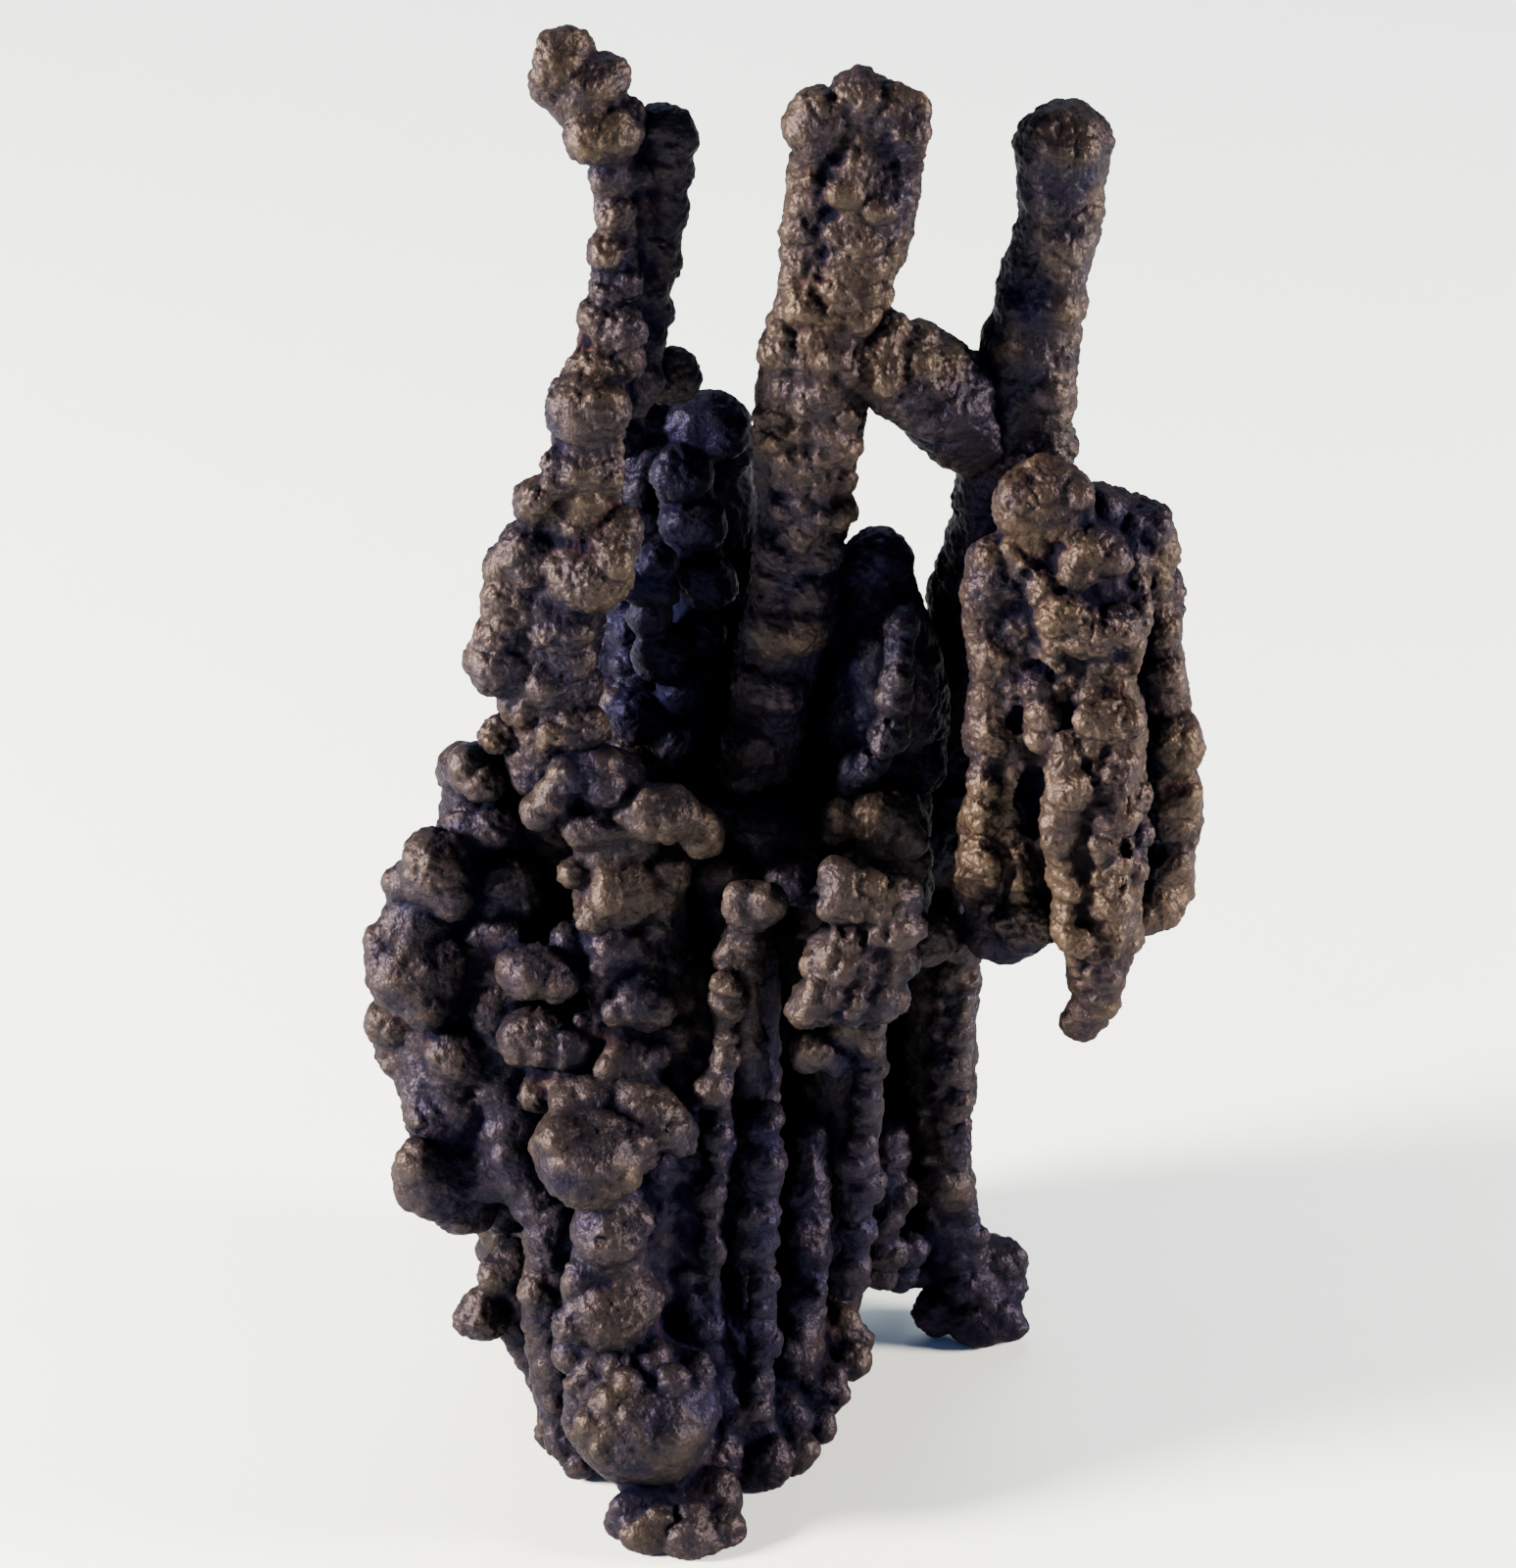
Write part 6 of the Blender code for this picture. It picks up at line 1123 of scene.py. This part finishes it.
def split_by(obj, sides):
    """Separate pieces of one mesh, face by face, that keep the whole mesh's normals."""
    mesh = obj.data
    count = len(mesh.polygons)
    corner = np.empty(count * 3, np.int32)
    mesh.loops.foreach_get("vertex_index", corner)
    tris = corner.reshape(-1, 3)
    co = np.empty(len(mesh.vertices) * 3, np.float32)
    mesh.vertices.foreach_get("co", co)
    co = co.reshape(-1, 3)
    normals = np.empty(len(mesh.vertices) * 3, np.float32)
    mesh.vertex_normals.foreach_get("vector", normals)
    normals = normals.reshape(-1, 3)
    values = {}
    for label in ("cavity", "rough", "recess_shade", "painted_light_and_shade"):
        values[label] = np.empty(len(co), np.float32)
        mesh.attributes[label].data.foreach_get("value", values[label])
    side = sides(co[tris].mean(axis=1) * 1000)
    made = []
    for k in np.unique(side):
        part = tris[side == k]
        used, index = np.unique(part, return_inverse=True)
        piece = object_of(
            f"{obj.name}_{k + 1}", co[used].astype(np.float64) * 1000, index.reshape(-1, 3),
            {label: numbers[used] for label, numbers in values.items()}, mesh.materials[0],
        )
        piece.data.normals_split_custom_set_from_vertices(normals[used].tolist())
        made.append(piece)
    bpy.data.objects.remove(obj, do_unlink=True)
    bpy.data.meshes.remove(mesh)
    return made


def zone_light_and_shade(vertices):
    """1 where the skin is as usual, less in the zones of painted shade and more in the zones of painted light."""
    share = np.ones(len(vertices), np.float32)
    bent = vertices + 1.6 * np.stack([value_noise(vertices, 4.5, 900 + k) for k in range(3)], 1)
    for across, down, depth, reach, amount in LIGHT_AND_SHADE_ZONES:
        spot, unit = place(across, down, depth)
        near = np.clip(1.35 - np.linalg.norm(bent - np.array(spot), axis=1) / (reach * unit), 0, 1)
        near = np.clip(near / 0.7, 0, 1)
        near = near * near * (3 - 2 * near)
        share *= 1 + (amount - 1) * near
    return share


def build():
    fields = {}
    for seed, name in enumerate(SHAPES):
        fields[name] = grow(name, PIECE_STEP[name] * DETAIL, 100 + seed)
        note(f"{name}: field {tuple(int(n) for n in fields[name].n)}")
    raw = {}
    for seed, name in enumerate(SHAPES):
        raw[name] = finished_mesh(name, fields[name], 500 + 20 * seed, name == "base_cluster")
        note(f"{name}: {len(raw[name][0])} vertices, {2 * len(raw[name][1])} triangles")
    # how enclosed each point is, from the whole specimen's filled grid
    low = np.min([f.low for f in fields.values()], axis=0) - 4
    high = np.max([f.low + f.h * f.n for f in fields.values()], axis=0) + 4
    cell = 0.5
    size = np.ceil((high - low) / cell).astype(int) + 1
    solid = np.zeros(size, np.float32)
    for f in fields.values():
        axes = [low[i] + cell * np.arange(size[i]) for i in range(3)]
        spans = [np.nonzero((axes[i] >= f.low[i]) & (axes[i] <= f.low[i] + f.h * (f.n[i] - 1)))[0] for i in range(3)]
        picks = [np.round((axes[i][spans[i]] - f.low[i]) / f.h).astype(int) for i in range(3)]
        part = np.clip(0.5 - f.d[np.ix_(*picks)] / cell, 0, 1)
        at = np.ix_(*spans)
        solid[at] = np.maximum(solid[at], part)
    fields.clear()
    near = boxed_blur(solid, 1)
    wide = boxed_blur(boxed_blur(solid, 3), 2)
    broad = boxed_blur(boxed_blur(solid, 8), 5)
    note("enclosure grids")

    for seed, name in enumerate(SHAPES):
        vertices, quads, rough = raw.pop(name)
        normals = normals_of(vertices, quads)
        cavity = 0.5 * read_grid(near, low, cell, vertices + 0.25 * normals) + 0.5 * read_grid(wide, low, cell, vertices + 1.0 * normals) + 0.12
        surface = oxide(name + "_oxide", *MATERIALS[name], seed + 1)
        # how enclosed the point is over a wide reach, for the painted shade in the recesses
        recess_shade = read_grid(broad, low, cell, vertices + 3.0 * normals)
        obj = object_of(name + "_skin", vertices, quads, {"cavity": cavity, "rough": rough, "recess_shade": recess_shade, "painted_light_and_shade": zone_light_and_shade(vertices)}, surface)
        note(f"{name}: cavity {np.percentile(cavity, (5, 25, 50, 75, 95)).round(2)}, recess {np.percentile(recess_shade, (5, 25, 50, 75, 95)).round(2)}")
        if name == "base_cluster":
            thinned(obj, 2 * MOST_TRIANGLES - 4000)
            pieces = split_by(obj, lambda p: (p[:, 1] - 0.25 * p[:, 0] > np.median(p[:, 1] - 0.25 * p[:, 0])).astype(int))
        else:
            thinned(obj, MOST[name])
            pieces = [obj]
        for piece in pieces:
            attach(piece, "root")
            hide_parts(name)
            note(f"{piece.name}: {len(piece.data.polygons)} faces")


DETAIL = 1.0
build()


# ---------------------------------------------------------------------------
# Floor, lights and camera
# ---------------------------------------------------------------------------
def plain(name, colour, roughness):
    material = bpy.data.materials.new(name)
    material.use_nodes = True
    tree = material.node_tree
    shader = tree.nodes["Principled BSDF"]
    shader.inputs["Roughness"].default_value = roughness
    shader.inputs["Specular IOR Level"].default_value = 0.2
    coords = node(tree, "ShaderNodeTexCoord", (-800, 0))
    grain = node(tree, "ShaderNodeTexNoise", (-600, 0))
    grain.inputs["Scale"].default_value = 90.0
    tree.links.new(coords.outputs["Object"], grain.inputs["Vector"])
    tint = mixed(tree, grain.outputs["Fac"], colour, tuple(0.97 * c for c in colour))
    tree.links.new(tint, shader.inputs["Base Color"])
    return material


bpy.ops.mesh.primitive_plane_add(size=8.0, location=(0, 1.0, -0.0002))
floor = bpy.context.object
floor.name = "floor"
floor.data.materials.append(plain("pale_floor", (0.82, 0.91, 0.94), 0.9))


def lamp(name, place_m, aim_m, size, power, colour):
    light = bpy.data.lights.new(name, "AREA")
    light.shape = "DISK"
    light.size = size
    light.energy = power
    light.color = colour
    obj = bpy.data.objects.new(name, light)
    obj.location = place_m
    obj.rotation_euler = (Vector(aim_m) - Vector(place_m)).to_track_quat("-Z", "Y").to_euler()
    bpy.context.scene.collection.objects.link(obj)
    return obj


lamp("lamp_left", (-0.50, -0.10, 0.20), (0, 0, 0.06), 0.12, 35.0, (1.0, 0.86, 0.69))
lamp("lamp_right", (0.50, -0.04, 0.16), (0, 0, 0.06), 0.12, 15.5, (1.0, 0.86, 0.69))
lamp("floor_wash", (0.0, 0.62, 0.55), (0, 0.36, 0.0), 0.60, 6.8, (0.95, 1.0, 1.0))

world = bpy.data.worlds.new("studio")
bpy.context.scene.world = world
world.use_nodes = True
world.node_tree.nodes["Background"].inputs["Color"].default_value = (0.26, 0.44, 1.0, 1.0)
world.node_tree.nodes["Background"].inputs["Strength"].default_value = 0.33

camera_data = bpy.data.cameras.new("camera")
camera_data.lens = 120.0
camera_data.sensor_width = 36.0
camera_data.clip_start = 0.01
camera_data.clip_end = 20.0
camera = bpy.data.objects.new("camera", camera_data)
camera.location = [(_EYE[0] - CENTRE_MM[0]) / 1000, (_EYE[1] - CENTRE_MM[1]) / 1000, _EYE[2] / 1000]
camera.rotation_euler = Vector(_FORWARD).to_track_quat("-Z", "Y").to_euler()
bpy.context.scene.collection.objects.link(camera)
bpy.context.scene.camera = camera

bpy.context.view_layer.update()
note("done")
